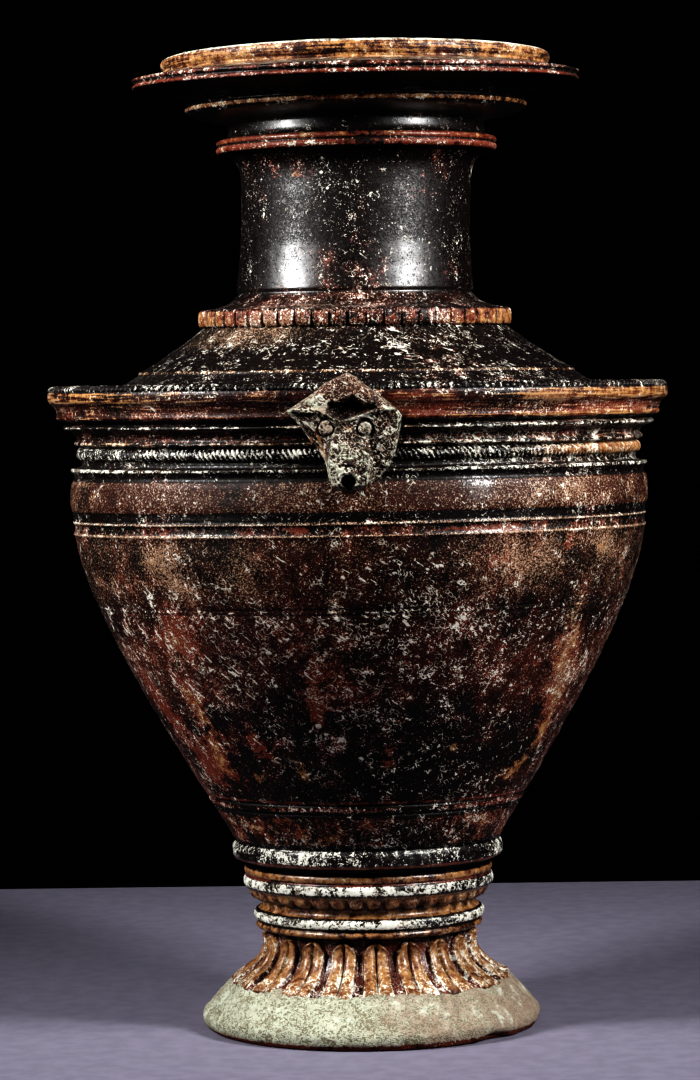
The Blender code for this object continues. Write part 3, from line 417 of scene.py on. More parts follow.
# Blots: degrees from the head, level, half width, half height, lean, and what they add to the marks
GLAZE_BLOTS = (
    # Neck and neck band
    (-32.0, 438.0, 17.0, 4.0, 0.0, {"Amber": 0.42, "Red": 0.2}),
    (33.0, 425.0, 6.0, 14.0, 0.0, {"Red": 0.30, "Amber": 0.2}),
    (-8.0, 438.0, 14.0, 12.0, 0.0, {"Specks": 0.26}),
    (-4.0, 408.0, 8.0, 18.0, 0.0, {"Specks": 0.14, "Red": 0.10, "Gloss": -0.2}),
    (-62.0, 392.0, 12.0, 10.0, 0.0, {"Specks": 0.30}),
    (-58.0, 424.0, 9.0, 9.0, 0.0, {"Specks": 0.20, "Red": 0.20}),
    (58.0, 400.0, 10.0, 20.0, 0.0, {"Specks": 0.20, "Red": 0.12}),
    (-28.0, 365.5, 26.0, 6.0, 0.0, {"Crust": 0.14, "Tan": 0.4, "Red": 0.2}),
    (34.0, 365.5, 10.0, 6.0, 0.0, {"Crust": 0.34, "Gloss": 0.4}),
    # Shoulder and flange
    (-42.0, 357.0, 40.0, 6.0, 0.6, {"Crust": 0.10, "Tan": 0.30}),
    (10.0, 352.0, 22.0, 5.0, 0.8, {"Scratch": 0.12}),
    (72.0, 340.0, 30.0, 16.0, 0.0, {"Gloss": 0.35, "Specks": 0.02}),
    (-26.0, 326.5, 22.0, 2.2, 0.0, {"Crust": 0.42}),
    (24.0, 327.0, 17.0, 2.4, 0.0, {"Crust": 0.52}),
    (12.5, 322.0, 20.0, 6.0, 0.0, {"Red": 0.90, "Brown": 0.4, "Amber": 0.2}),
    (38.0, 324.6, 14.0, 4.0, 0.0, {"Amber": 0.62, "Tan": 0.3, "Crust": 0.12}),
    (62.0, 325.5, 40.0, 3.0, 0.0, {"Amber": 0.40}),
    (58.0, 319.0, 34.0, 4.0, 0.0, {"Red": 0.60, "Amber": 0.26, "Tan": 0.16}),
    (-50.0, 320.0, 36.0, 2.0, 0.0, {"Amber": 0.26}),
    # Painted highlight: a pale crust spot stands for a lamp's highlight left of the head
    (-9.8, 298.5, 5.0, 3.2, 0.9, {"Crust": 0.75}),
    # Gloss where the left lamp shines on the cord, with pale crust that is partly painted highlight
    (-24.0, 297.6, 17.0, 2.6, 0.0, {"Crust": 0.30, "Gloss": 0.5}),
    (24.0, 305.0, 24.0, 3.0, 0.0, {"Crust": 0.12, "Scratch": 0.3}),
    (-66.0, 284.0, 8.0, 4.0, 0.0, {"Crust": 0.34, "Tan": 0.3}),
    # Gloss where the right lamp shines on the band and the black strip below, with pale crust that is partly painted
    # highlight
    (25.0, 276.0, 7.0, 9.0, 0.0, {"Crust": 0.32, "Gloss": 0.7}),
    (17.0, 267.0, 14.0, 2.2, 0.0, {"Crust": 0.26, "Gloss": 0.4}),
    (44.0, 277.0, 22.0, 7.0, 0.0, {"Tan": 0.16, "Amber": 0.10}),
    (-10.0, 261.0, 6.0, 2.0, 0.0, {"Red": 0.60, "Crust": 0.2}),
    (22.0, 259.5, 14.0, 1.4, 0.0, {"Crust": 0.40, "Red": 0.5}),
    # Upper belly: tan patches
    (-42.0, 247.0, 13.0, 9.0, 0.6, {"Tan": 0.36, "Amber": 0.36}),
    (-38.0, 234.0, 10.0, 11.0, -0.5, {"Tan": 0.34, "Amber": 0.34, "Crust": 0.12}),
    (-46.0, 228.0, 11.0, 6.0, -0.6, {"Crust": 0.36, "Scratch": 0.3}),
    (-21.8, 243.0, 14.0, 14.0, 0.0, {"Tan": 0.28, "Amber": 0.20}),
    (37.0, 244.0, 28.0, 13.0, 0.0, {"Tan": 0.28, "Red": 0.04}),
    (58.0, 248.0, 10.0, 9.0, 0.0, {"Tan": 0.36, "Amber": 0.50}),
    (46.0, 250.0, 5.0, 6.0, 0.0, {"Crust": 0.30, "Red": 0.4}),
    (-3.4, 222.0, 4.0, 10.0, 0.0, {"Tan": 0.40, "Amber": 0.30, "Crust": 0.16}),
    (12.0, 236.0, 26.0, 16.0, 0.0, {"Scratch": 0.22}),
    # Belly sides: amber and red runs
    (52.7, 216.0, 7.0, 9.0, 0.2, {"Amber": 0.36, "Tan": 0.3}),
    (55.7, 197.0, 10.0, 19.0, 0.10, {"Amber": 0.52, "Red": 0.4, "Tan": 0.26}),
    (60.0, 174.0, 9.0, 15.0, 0.10, {"Amber": 0.44, "Red": 0.5, "Tan": 0.16}),
    (66.0, 188.0, 3.0, 18.0, 0.35, {"Crust": 0.46, "Amber": 0.3}),
    (62.0, 153.0, 5.0, 12.0, 0.30, {"Amber": 0.56, "Red": 0.4, "Crust": 0.1}),
    (56.4, 135.0, 8.0, 8.0, 0.45, {"Amber": 0.52, "Red": 0.3, "Crust": 0.1}),
    (-42.7, 206.0, 12.0, 12.0, 0.0, {"Amber": 0.34, "Red": 0.5, "Tan": 0.24}),
    (-45.4, 170.0, 8.0, 17.0, -0.25, {"Amber": 0.44, "Red": 0.4, "Tan": 0.06}),
    (-47.0, 142.0, 10.0, 15.0, -0.20, {"Amber": 0.46, "Red": 0.5, "Tan": 0.12}),
    (-62.7, 167.0, 8.0, 16.0, -0.2, {"Red": 0.62, "Amber": 0.2}),
    (-56.0, 140.0, 7.0, 12.0, 0.0, {"Red": 0.50}),
    (-10.2, 174.0, 8.0, 12.0, 0.0, {"Red": 0.46, "Amber": 0.30, "Tan": 0.2}),
    (-29.6, 152.0, 7.0, 7.0, 0.0, {"Red": 0.50, "Amber": 0.24}),
    (8.0, 143.6, 6.0, 6.0, 0.0, {"Red": 0.46, "Amber": 0.26}),
    (27.3, 151.4, 3.0, 7.0, 0.2, {"Amber": 0.52}),
    (-17.5, 139.0, 4.5, 8.0, 0.0, {"Amber": 0.56, "Crust": 0.16}),
    (-34.0, 135.0, 5.0, 4.5, 0.3, {"Amber": 0.56}),
    (-3.0, 196.0, 20.0, 12.0, 0.0, {"Red": 0.18}),
    (31.6, 192.6, 9.0, 9.0, 0.0, {"Specks": 0.24, "Crust": 0.24}),
    (15.2, 140.5, 9.0, 7.0, 0.3, {"Crust": 0.28, "Specks": 0.2}),
    (-22.2, 143.0, 10.0, 4.0, -0.4, {"Crust": 0.34, "Scratch": 0.2}),
    (1.9, 198.0, 7.0, 7.0, 0.0, {"Crust": 0.24, "Specks": 0.2}),
    (20.0, 104.0, 22.0, 8.0, 0.3, {"Red": -0.5, "Amber": -0.3, "Brown": -0.3}),
    (-30.0, 99.0, 30.0, 4.0, 0.0, {"Crust": 0.20, "Scratch": 0.3}),
    # Foot rings: where the top ring has lost its crust, and the low ring's shine: bare glaze at one place, pale crust
    # that is partly painted highlight at another
    (8.0, 92.0, 26.0, 3.6, 0.0, {"Crust": -0.34}),
    (-56.0, 90.5, 14.0, 3.0, 0.0, {"Crust": -0.30}),
    (52.0, 92.0, 9.0, 5.0, 0.0, {"Crust": -0.30}),
    (60.0, 76.0, 22.0, 3.0, 0.0, {"Crust": -0.34}),
    (38.0, 58.6, 15.0, 2.6, 0.0, {"Crust": -0.46}),
    # Pale crust on the low ring, partly a painted highlight
    (16.0, 58.6, 9.0, 2.6, 0.0, {"Crust": 0.30}),
    # The hidden side, plainer
    (150.0, 225.0, 20.0, 22.0, 0.2, {"Tan": 0.40, "Amber": 0.30}),
    (-155.0, 165.0, 9.0, 30.0, 0.3, {"Amber": 0.60, "Red": 0.3}),
    (-110.0, 205.0, 14.0, 24.0, -0.2, {"Amber": 0.44, "Red": 0.3}),
    (112.0, 160.0, 9.0, 26.0, 0.3, {"Amber": 0.56, "Red": 0.3}),
    (178.0, 140.0, 10.0, 16.0, 0.0, {"Red": 0.5}),
)


def glaze_marks(angle, radius, height, points):
    """How brown, tan, amber, red, crusted, speckled, scratched and glossy the body is at each point, and where shade
    is painted on it.
    """
    outer = outside_only(radius, height)
    slow = lumps(points, 34.0, 21)
    quick = rough(points, 11.0, 31)
    side = np.sin(angle)
    places = {"all": 1.0 + 0.0 * side, "sides": side ** 2 * (1.5 - 0.5 * side ** 2),
              "left": smooth(-side, 0.10, 0.8), "right": smooth(side, 0.05, 0.6)}
    marks = {name: start + 0.0 * height for name, start in BASE_MARKS.items()}
    for low, high, soft, least, where, amounts in GLAZE_BANDS:
        weight = between(height, low, high, soft) * smooth(radius, least - 0.8, least) * places[where]
        for name, amount in amounts.items():
            marks[name] = marks[name] + amount * weight
    for degrees, level, half_width, half_height, lean, amounts in GLAZE_BLOTS:
        weight = blot(angle, radius, height, (degrees, level, half_width, half_height, lean))
        for name, amount in amounts.items():
            marks[name] = marks[name] + amount * weight
    for name, slow_share, quick_share in (("Brown", 0.16, 0.10), ("Tan", 0.12, 0.10), ("Red", 0.16, 0.06),
                                          ("Crust", 0.06, 0.06), ("Specks", 0.10, 0.08),
                                          ("Scratch", 0.12, 0.06), ("Gloss", 0.16, 0.0)):
        marks[name] = marks[name] + slow_share * slow + quick_share * quick
    # Painted shade: black glaze laid on the rim's underside, where the flange shades it
    marks["Shade"] = marks["Shade"] + 0.75 * between(height, 478.5, 484.9, 0.4) * smooth(-radius, -114.6, -113.6)
    marks = {name: np.clip(value, 0.0, 1.0) * outer for name, value in marks.items()}
    # Painted shade: the walls of the hollow are laid near black
    marks["Shade"] = np.maximum(marks["Shade"], 0.9 * (1.0 - outer))
    marks["Bare"] = 0.0 * height
    return marks


def petal_shape(angle):
    """Place across one petal: -1 to 1 on the petal, and how far into the gap beside it."""
    share = (angle / math.tau * PETAL_COUNT + 0.19) % 1.0
    across = (share - 0.50) / 0.385
    return across


def foot_rows():
    """The foot's profile: petals' stem, slope, edge and underside."""
    stem = bezier((52.6, SEAM_STEM + 0.4), (51.6, 42.0), (52.4, 31.0), (71.2, 24.4), 30)
    slope = [(72.6, 23.2), (77.6, 18.4), (82.8, 13.0), (86.2, 9.0), (87.4, 6.6), (87.0, 3.6),
             (85.4, 1.2), (83.8, 0.0), (81.0, 0.0)]
    underside = [(72.0, 0.0), (56.0, 0.0), (38.0, 0.0), (18.0, 0.0), (2.0, 0.0)]
    return np.vstack([soften(stem + slope, 1.5), underside])


def foot_relief(angle, radius, height, points):
    """Petals with their arched tops, double lobes and raised edges, and the rough slip below."""
    across = petal_shape(angle)
    wobble = 0.06 * np.sin(3.0 * angle + 0.7) + 0.04 * np.sin(7.0 * angle)
    across = across + wobble
    middle = np.abs(across)
    top = TOE_HEIGHT + PETAL_HEIGHT * (0.97 - 0.22 * np.clip(middle, 0.0, 1.4) ** 2.6)
    inside = (1.0 - smooth(middle, 0.90, 1.08)) * (1.0 - smooth(height, top - 1.1, top + 0.5))
    lobes = 1.0 - 0.55 * np.abs(2.0 * np.clip(middle, 0.0, 1.0) - 1.0) ** 2.2
    ridge = 0.45 * np.exp(-(across / 0.07) ** 2)
    edge = 0.22 * np.exp(-((middle - 0.93) / 0.08) ** 2)
    arch = 0.26 * np.exp(-((height - top + 1.5) / 0.8) ** 2) * (middle < 1.0)
    fade = smooth(height, 22.8, 29.0)
    on_stem = smooth(height, 23.2, 24.8) * smooth(radius, 40.0, 48.0)
    push = PETAL_RELIEF * (0.85 * lobes + edge + arch - ridge) * inside * (0.45 + 0.55 * fade)
    push = (push - 0.35 * (1.0 - inside) * fade) * on_stem
    slip = between(height, 3.0, 25.0, 1.5) * smooth(radius, 69.0, 72.0)
    ragged = 24.0 + 1.6 * lumps(points, 9.0, 61) + 0.9 * lumps(points, 3.6, 62)
    skin = smooth(ragged - height, -0.3, 0.5) * smooth(radius, 66.0, 70.0)
    push = push + 0.85 * skin * smooth(lumps(points, 30.0, 63), -0.9, 0.4)
    push = push + slip * (0.42 * rough(points, 5.0, 64) + 0.20 * lumps(points, 1.9, 66))
    push = push + 0.25 * (1.0 - slip) * lumps(points, 9.0, 67)
    drip = 1.1 * blot(angle, radius, height, (29.0, 22.0, 2.6, 6.0, 0.5))
    drip = drip + 0.9 * blot(angle, radius, height, (34.0, 20.0, 1.8, 5.0, 0.3))
    chip = 1.4 * blot(angle, radius, height, (4.5, 46.5, 2.6, 3.0, 0.0))
    bruise = blot(angle, radius, height, (48.0, 0.5, 9.0, 3.6, 0.0)) * smooth(radius, 74.0, 82.0)
    flat = smooth(height, 0.0, 1.2)
    return (push + drip - chip) * flat - 3.4 * bruise * smooth(height, -0.2, 0.4)


def foot_marks(angle, radius, height, points):
    """Amber petals with red gaps and crusted ridges, over the bare slip of the foot, with painted shade between the
    petals and in the well.
    """
    across = petal_shape(angle) + 0.06 * np.sin(3.0 * angle + 0.7) + 0.04 * np.sin(7.0 * angle)
    middle = np.abs(across)
    quick = rough(points, 5.0, 71)
    slow = lumps(points, 26.0, 72)
    zero = 0.0 * height
    top = TOE_HEIGHT + PETAL_HEIGHT * (0.97 - 0.22 * np.clip(middle, 0.0, 1.4) ** 2.6)
    inside = (1.0 - smooth(middle, 0.88, 1.06)) * (1.0 - smooth(height, top - 1.1, top + 0.3))
    stem = smooth(height, 22.6, 24.6) * smooth(radius, 40.0, 48.0)
    edge = np.exp(-((middle - 0.93) / 0.09) ** 2) + np.exp(-(across / 0.10) ** 2)
    ragged = 24.4 + 1.5 * lumps(points, 9.0, 61) + 0.9 * lumps(points, 3.6, 62)
    bare = smooth(ragged - height, -0.6, 0.4) * smooth(radius, 60.0, 68.0)
    marks = {}
    marks["Brown"] = np.clip(0.75 + 0.25 * slow, 0.0, 1.0)
    marks["Amber"] = np.clip(0.56 * inside + 0.22 + 0.16 * quick + 0.16 * slow, 0.0, 1.0) * stem
    marks["Red"] = np.clip(0.62 - 0.2 * inside + 0.15 * quick + 0.4 * smooth(-height, -6.0, -3.0), 0.0, 1.0)
    low = smooth(-height, -34.0, -26.0)
    crust = 0.28 + 0.28 * edge * inside + 0.20 * low + 0.18 * quick + 0.14 * slow
    marks["Crust"] = np.clip(crust, 0.0, 1.0) * stem
    marks["Specks"] = (zero + 0.34) * stem
    marks["Scratch"] = zero + 0.1
    marks["Tan"] = zero + 0.26
    marks["Bare"] = bare * smooth(height, 1.2, 4.2 + 1.2 * np.sin(angle))
    marks["Gloss"] = (0.50 + 0.25 * slow) * stem
    marks["Combed"] = zero
    marks["Warm"] = 0.75 * smooth(np.sin(angle), -0.2, 1.0) + smooth(-height, -5.0, -1.0)
    # Painted shade: darker between the petals' tops and inside the well of the foot
    marks["Shade"] = 0.20 * (1.0 - inside) * stem * smooth(height, 27.0, 32.0)
    marks["Shade"] = np.maximum(marks["Shade"], 0.9 * smooth(-radius, -48.0, -44.0) * smooth(height, 10.0, 24.0))
    return marks


def frill_relief(angle, radius, height, points):
    """The ring stack's clay, with the scalloped frill's pits and lumpy crust on the ring tops."""
    push = 0.14 * rough(points, 5.0, 41) + 0.30 * lumps(points, 22.0, 42)
    wave = np.abs(np.sin(0.5 * FRILL_SCALLOPS * angle + 0.4 * np.sin(5.0 * angle)))
    frill = between(height, 66.4, 71.2, 0.7) * smooth(radius, 50.0, 54.0)
    pit = smooth(1.0 - wave, 0.45, 0.85) * between(height, 66.6, 69.4, 1.0)
    push = push + frill * (0.9 * (wave - 0.45) - 1.8 * pit)
    crust = between(height, 89.0, 95.6, 0.5) + between(height, 73.4, 78.2, 0.5) + between(height, 56.6, 60.4, 0.5)
    push = push + np.clip(crust, 0.0, 1.0) * 0.22 * smooth(rough(points, 3.0, 45), -0.1, 0.3)
    return push * smooth(radius, 44.0, 50.0)


def notch_marks(base):
    """Paint for the notched rings: the body's own marks, with each ring's own marks on top, such as less crust in the
    notches and painted shade in the neck band's notches.
    """
    def paint(angle, radius, height, points):
        marks = glaze_marks(angle, radius, height, points)
        for mark, value in base.items():
            marks[mark] = np.clip(value(angle, radius, height, points, marks), 0.0, 1.0)
        return marks
    return paint


def notched_ring(name, section, columns, relief, paint, material):
    """A closed moulding turned round the jar from its own small section."""
    rows = np.array(section, float)
    return turn_piece(name, rows, columns, relief, paint, material)


def oval_section(middle_radius, middle_height, half_width, half_height, count):
    """A closed oval section, running so that its faces look outwards."""
    turn = np.linspace(0.0, math.tau, count, endpoint=False)
    return [(middle_radius + half_width * math.sin(step), middle_height + half_height * math.cos(step))
            for step in turn]


def head_edges(height):
    """How far the head reaches left and right at each height, in millimetres."""
    left_levels = (279.0, 279.6, 281.1, 286.2, 291.5, 295.8, 303.1, 307.9, 314.0, 317.2, 319.1,
                   322.3, 327.1, 331.8, 335.0, 336.4, 336.9)
    left = (1.0, -3.0, -5.8, -8.3, -9.2, -10.6, -15.6, -18.9, -23.6, -26.4, -28.0,
            -23.0, -15.6, -9.8, -3.0, -0.2, 0.9)
    right_levels = (279.0, 279.6, 281.0, 283.0, 285.8, 290.6, 300.0, 309.6, 316.3, 319.1,
                    322.5, 326.5, 330.9, 334.3, 336.2, 336.9)
    right = (1.6, 4.6, 7.6, 11.0, 15.6, 19.8, 23.2, 25.4, 26.4, 24.6,
             20.8, 15.8, 9.8, 6.0, 2.6, 1.2)
    return np.interp(height, left_levels, left), np.interp(height, right_levels, right)


def near_line(x, z, start, end):
    """Distance from the line between two points, and the share along it."""
    run = (end[0] - start[0], end[1] - start[1])
    length = run[0] ** 2 + run[1] ** 2
    share = np.clip(((x - start[0]) * run[0] + (z - start[1]) * run[1]) / length, 0.0, 1.0)
    gap = np.hypot(x - start[0] - share * run[0], z - start[1] - share * run[1])
    return gap, share


NOSTRIL = (1.2, 284.4)
LEFT_EYE = (-9.2, 311.0)
RIGHT_EYE = (9.2, 310.6)


def head_front(x, z, points):
    """How far the head's face stands proud of the flange, with its marks, in millimetres."""
    left, right = head_edges(z)
    inset = np.minimum(x - left, right - x)
    down = np.clip((319.0 - z) / 36.0, 0.0, 1.0)
    cheek = 6.2 - 3.6 * down + 0.9 * smooth(x, 6.0, 20.0)
    half = 3.6 + 4.6 * smooth(down, 0.05, 0.75)
    middle = 0.6 + 0.6 * down
    snout = smooth((half + 4.6 - np.abs(x - middle)) / 4.6) * smooth(0.10 + 1.15 * down)
    depth = cheek + (13.2 - cheek) * snout
    depth = depth - 1.4 * smooth(z, 297.0, 308.0) * snout
    crown = np.exp(-((x - middle) / (0.55 * half + 1.0)) ** 2)
    depth = depth + 0.9 * crown * smooth(down, 0.0, 0.2) * (1.0 - smooth(down, 0.75, 0.95))

    # Cowl above the brow: an arch from ear to ear round a dished hollow
    floor = np.where(x < -0.5, 313.4 + (-0.5 - x) * 0.40, 314.2 + (x + 0.5) * 0.33)
    floor = np.minimum(floor, 319.6)
    cowl = smooth(z, floor - 0.2, floor + 1.2)
    arch_left, arch_right = head_edges(np.clip(z, 316.5, 336.9))
    inner = np.minimum(x - arch_left, arch_right - x)
    wavy = 324.2 + 1.0 * np.sin(0.5 * x) - 0.03 * (x - 2.0) ** 2
    dish = smooth(inner, 1.6, 5.0) * smooth(wavy - z, -1.6, 2.0) * smooth(x, -10.5, -6.0) * smooth(-x, -19.0, -15.0)
    ramp = smooth(z, 316.0, 333.0)
    hood = 6.0 - 2.2 * smooth(z, 324.0, 336.0)
    depth = depth * (1.0 - cowl) + cowl * (hood - 4.6 * dish)
    brow = np.zeros_like(x)
    for start, end in (((-27.0, 319.0), (-11.0, 318.2)), ((-11.0, 318.2), (-1.0, 313.6)),
                       ((2.2, 314.8), (10.0, 318.0)), ((10.0, 318.0), (24.0, 320.2))):
        gap, _ = near_line(x, z, start, end)
        brow = np.maximum(brow, np.exp(-(gap / 1.15) ** 2))
    depth = depth + 1.5 * brow * smooth(inset, 0.0, 2.0)
    gap, _ = near_line(x, z, (0.8, 330.0), (1.2, 320.5))
    depth = depth + 1.3 * np.exp(-(gap / 1.4) ** 2) * smooth(z, 319.0, 322.0) * (1.0 - smooth(z, 324.0, 329.0))

    # Eyes: a plain disc on the left, and on the right a disc in a sunk ring
    for eye, sunk in ((LEFT_EYE, 0.5), (RIGHT_EYE, 1.0)):
        away = np.hypot(x - eye[0], (z - eye[1]) * 0.96)
        disc = 1.0 - smooth(away, 2.7, 3.5)
        moat = np.exp(-((away - 3.9) / 0.65) ** 2)
        lip = np.exp(-((away - 5.1) / 0.7) ** 2)
        depth = depth + 1.1 * disc - 1.5 * sunk * moat + 0.45 * sunk * lip
    # Cheek wrinkles fan back from the muzzle on the right, and run to the ear on the left
    carved = np.zeros_like(x)
    for index in range(7):
        turn = math.radians(58.0 - 17.0 * index)
        end = (8.5 + 20.0 * math.cos(turn), 300.0 - 2.0 * index + 14.0 * math.sin(turn))
        gap, share = near_line(x, z, (8.5, 301.0 - 2.3 * index), end)
        line = np.exp(-(gap / 0.5) ** 2) * smooth(share, 0.08, 0.25) * smooth(x, 9.0, 11.5)
        depth = depth - 0.85 * line
        carved = np.maximum(carved, line)
    for index in range(4):
        gap, share = near_line(x, z, (-9.0, 297.0 + 4.0 * index), (-22.0 + index, 312.0 + 1.8 * index))
        line = np.exp(-(gap / 0.5) ** 2) * smooth(share, 0.0, 0.2)
        depth = depth - 0.6 * line
        carved = np.maximum(carved, line)
    rim = np.exp(-((right - x - 0.9) / 0.9) ** 2) * between(z, 286.0, 317.0, 2.0)
    depth = depth + 0.8 * rim

    # Muzzle: a ring round the nostril, a crease above it, and the bore
    away = np.hypot(x - NOSTRIL[0], (z - NOSTRIL[1]) * 1.12)
    depth = depth + 0.9 * np.exp(-((away - 4.9) / 0.8) ** 2) * smooth(snout, 0.2, 0.8)
    gap, _ = near_line(x, z, (-2.6, 291.8), (4.4, 291.2))
    depth = depth - 1.3 * np.exp(-(gap / 0.8) ** 2)
    for index in range(4):
        gap, _ = near_line(x, z, (-4.6 + 0.8 * index, 294.0 + 1.5 * index), (5.2 - 0.7 * index, 293.6 + 1.5 * index))
        depth = depth - 0.3 * np.exp(-(gap / 0.45) ** 2)
    depth = depth + 0.42 * rough(points, 2.4, 81) + 0.34 * lumps(points, 7.0, 84)
    edge_drop = 2.6 * (1.0 - smooth(inset, -0.2, 2.2)) + 0.9 * (1.0 - smooth(inset, 0.0, 6.0))
    depth = depth - edge_drop
    hole = 1.0 - smooth(away, 3.05, 3.55)
    depth = depth - hole * 11.0
    chin = 5.5 * (1.0 - smooth(z, 279.2, 282.6))
    depth = depth - chin

    marks = {}
    quick = rough(points, 3.0, 91)
    # The dished hollow under the cowl is darkened below: less crust, tan grain, specks, scratches and slip, and a
    # little painted shade
    hollow = cowl * dish * (1.0 - 0.7 * ramp)
    marks["Brown"] = 0.45 + 0.30 * smooth(z, 322.0, 330.0) + 0.2 * quick
    stripe = np.exp(-((x + 16.6) / 1.1) ** 2) * between(z, 299.0, 306.0, 1.5)
    stripe = stripe + np.exp(-((x + 12.0 + 0.25 * (z - 304.0)) / 1.3) ** 2) * between(z, 297.0, 311.0, 1.5)
    nose = np.exp(-(np.hypot(x - 0.6, (z - 309.0) * 0.7) / 4.6) ** 2)
    marks["Amber"] = 0.12 + 0.75 * stripe + 0.36 * nose + 0.22 * cowl * ramp + 0.14 * quick
    ear = np.exp(-(np.hypot(x - 20.0, z - 313.0) / 4.2) ** 2)
    marks["Red"] = 0.15 + 0.45 * ear + 0.10 * quick
    muzzle = smooth(snout, 0.35, 0.8) * between(z, 282.0, 303.0, 4.0)
    worn = np.clip(brow + rim + 0.6 * np.exp(-(inset / 1.3) ** 2), 0.0, 1.0)
    left_hood = cowl * np.exp(-(np.hypot((x + 15.0) / 7.0, (z - 322.0) / 4.5)) ** 2)
    eyes = np.zeros_like(x)
    for eye in (LEFT_EYE, RIGHT_EYE):
        eyes = np.maximum(eyes, 1.0 - smooth(np.hypot(x - eye[0], z - eye[1]), 2.7, 3.5))
    # Carved lines get less crust and slip here and below, and some painted shade
    crust = 0.22 + 0.08 * muzzle + 0.26 * worn + 0.20 * left_hood + 0.12 * quick - 0.22 * carved
    crust = crust + 0.35 * np.exp(-(np.hypot(x - 1.0, z - 322.0) / 2.0) ** 2)
    crust = crust + 0.25 * np.exp(-(np.hypot(x - 14.0, z - 303.0) / 4.0) ** 2)
    marks["Crust"] = crust * (1.0 - 0.4 * hollow)
    marks["Tan"] = 0.40 + 0.10 * cowl - 0.2 * hollow
    marks["Specks"] = 0.45 * (1.0 - 0.6 * hollow)
    marks["Scratch"] = 0.62 * (1.0 - 0.5 * hollow)
    bare = 0.31 + 0.10 * muzzle + 0.20 * left_hood + 0.16 * worn + 0.14 * eyes - 0.25 * carved - 0.10 * nose + 0.10 * quick
    marks["Bare"] = bare * (1.0 - hollow)
    marks["Warm"] = 0.9 * cowl * (1.0 - left_hood) + 0.9 * eyes + 0.5 * ear + 0.8 * nose
    marks["Gloss"] = 0.0 * x
    marks["Combed"] = 0.0 * x
    # Painted shade in the dished hollow, in the nostril's bore and along the carved lines
    marks["Shade"] = np.clip(0.25 * hollow + smooth(-away, -3.9, -3.0) + 0.2 * carved, 0.0, 1.0)
    return depth, {mark: np.clip(value, 0.0, 1.0) for mark, value in marks.items()}


def build_head(material):
    """The applied head as one closed skin of level slices, its back sunk in the flange."""
    rows = 170
    columns = 150
    level = np.linspace(336.8, 279.1, rows)
    left, right = head_edges(level)
    share = np.linspace(0.0, 1.0, columns)
    share = 0.5 - 0.5 * np.cos(math.pi * share) * (0.75 + 0.25 * np.abs(np.cos(math.pi * share)))
    x = left[:, None] + (right - left)[:, None] * share[None, :]
    z = level[:, None] + 0.0 * x
    spots = np.stack([x, 0.0 * x, z], axis=-1)
    depth, marks = head_front(x, z, spots)
    reach = FLANGE_RADIUS + depth
    front = np.stack([x, -np.sqrt(reach ** 2 - x ** 2), z], axis=-1)
    back_radius = np.where(level > 329.5, 151.5, 141.0)[:, None]
    back_share = np.linspace(1.0, 0.0, 12)
    back_x = left[:, None] + (right - left)[:, None] * back_share[None, :]
    back_z = level[:, None] + 0.0 * back_x
    back = np.stack([back_x, -np.sqrt(back_radius ** 2 - back_x ** 2), back_z], axis=-1)
    points = np.concatenate([front, back], axis=1)
    total = points.shape[1]
    faces = ring_faces(rows, total, False)
    count = rows * total
    caps = np.vstack([points[0].mean(axis=0), points[-1].mean(axis=0)])
    last = (rows - 1) * total
    for column in range(total):
        after = (column + 1) % total
        faces.append((count, column, after))
        faces.append((count + 1, last + after, last + column))
    marks = {mark: np.append(np.concatenate([value, np.full((rows, 12), 0.3)], axis=1).reshape(-1), [0.3, 0.3])
             for mark, value in marks.items()}
    points = hand_sway(np.vstack([points.reshape(-1, 3), caps]))
    return make_piece("JarHead", points, faces, marks, material)


class Wire:
    """A shader socket that takes part in Python sums and makes the nodes it needs."""

    def __init__(self, tree, socket=None):
        self.tree = tree
        self.socket = socket

    def add(self, kind, settings=None, inputs=None, output=0):
        """Make a node: its type, its settings first, then its sockets' values or links."""
        node = self.tree.nodes.new(kind)
        for name, value in (settings or {}).items():
            setattr(node, name, value)
        for name, value in (inputs or {}).items():
            if isinstance(value, Wire):
                self.tree.links.new(value.socket, node.inputs[name])
            else:
                node.inputs[name].default_value = value
        return Wire(self.tree, node.outputs[output]) if len(node.outputs) else None

    def sum_up(self, operation, first, second=0.0):
        """One Math node."""
        return self.add("ShaderNodeMath", {"operation": operation}, {0: first, 1: second})

    def __add__(self, other):
        return self.sum_up("ADD", self, other)

    __radd__ = __add__

    def __sub__(self, other):
        return self.sum_up("SUBTRACT", self, other)

    def __rsub__(self, other):
        return self.sum_up("SUBTRACT", other, self)

    def __mul__(self, other):
        return self.sum_up("MULTIPLY", self, other)

    __rmul__ = __mul__

    def most(self, other):
        """The larger of the two."""
        return self.sum_up("MAXIMUM", self, other)

    def size(self):
        """The value without its sign."""
        return self.sum_up("ABSOLUTE", self)

    def ease(self, low, high):
        """0 below low, 1 above high, and smooth between."""
        return self.add("ShaderNodeMapRange", {"interpolation_type": "SMOOTHSTEP"},
                        {"Value": self, "From Min": low, "From Max": high})

    def noise(self, place, scale, detail=2.0, roughness=0.5):
        """Noise from 0 to 1 over a place vector."""
        return self.add("ShaderNodeTexNoise", {"noise_dimensions": "3D"},
                        {"Vector": place, "Scale": scale, "Detail": detail, "Roughness": roughness})

    def mark(self, name):
        """A painted vertex attribute."""
        return self.add("ShaderNodeAttribute", {"attribute_type": "GEOMETRY", "attribute_name": name},
                        output="Fac")

    def over(self, mask, under, upper):
        """Colour upper laid over colour under by a mask."""
        return self.add("ShaderNodeMix", {"data_type": "RGBA", "clamp_factor": True},
                        {0: mask, 6: under, 7: upper}, output=2)

    def stretched(self, place, factors):
        """A place vector scaled axis by axis."""
        return self.add("ShaderNodeVectorMath", {"operation": "MULTIPLY"}, {0: place, 1: factors})


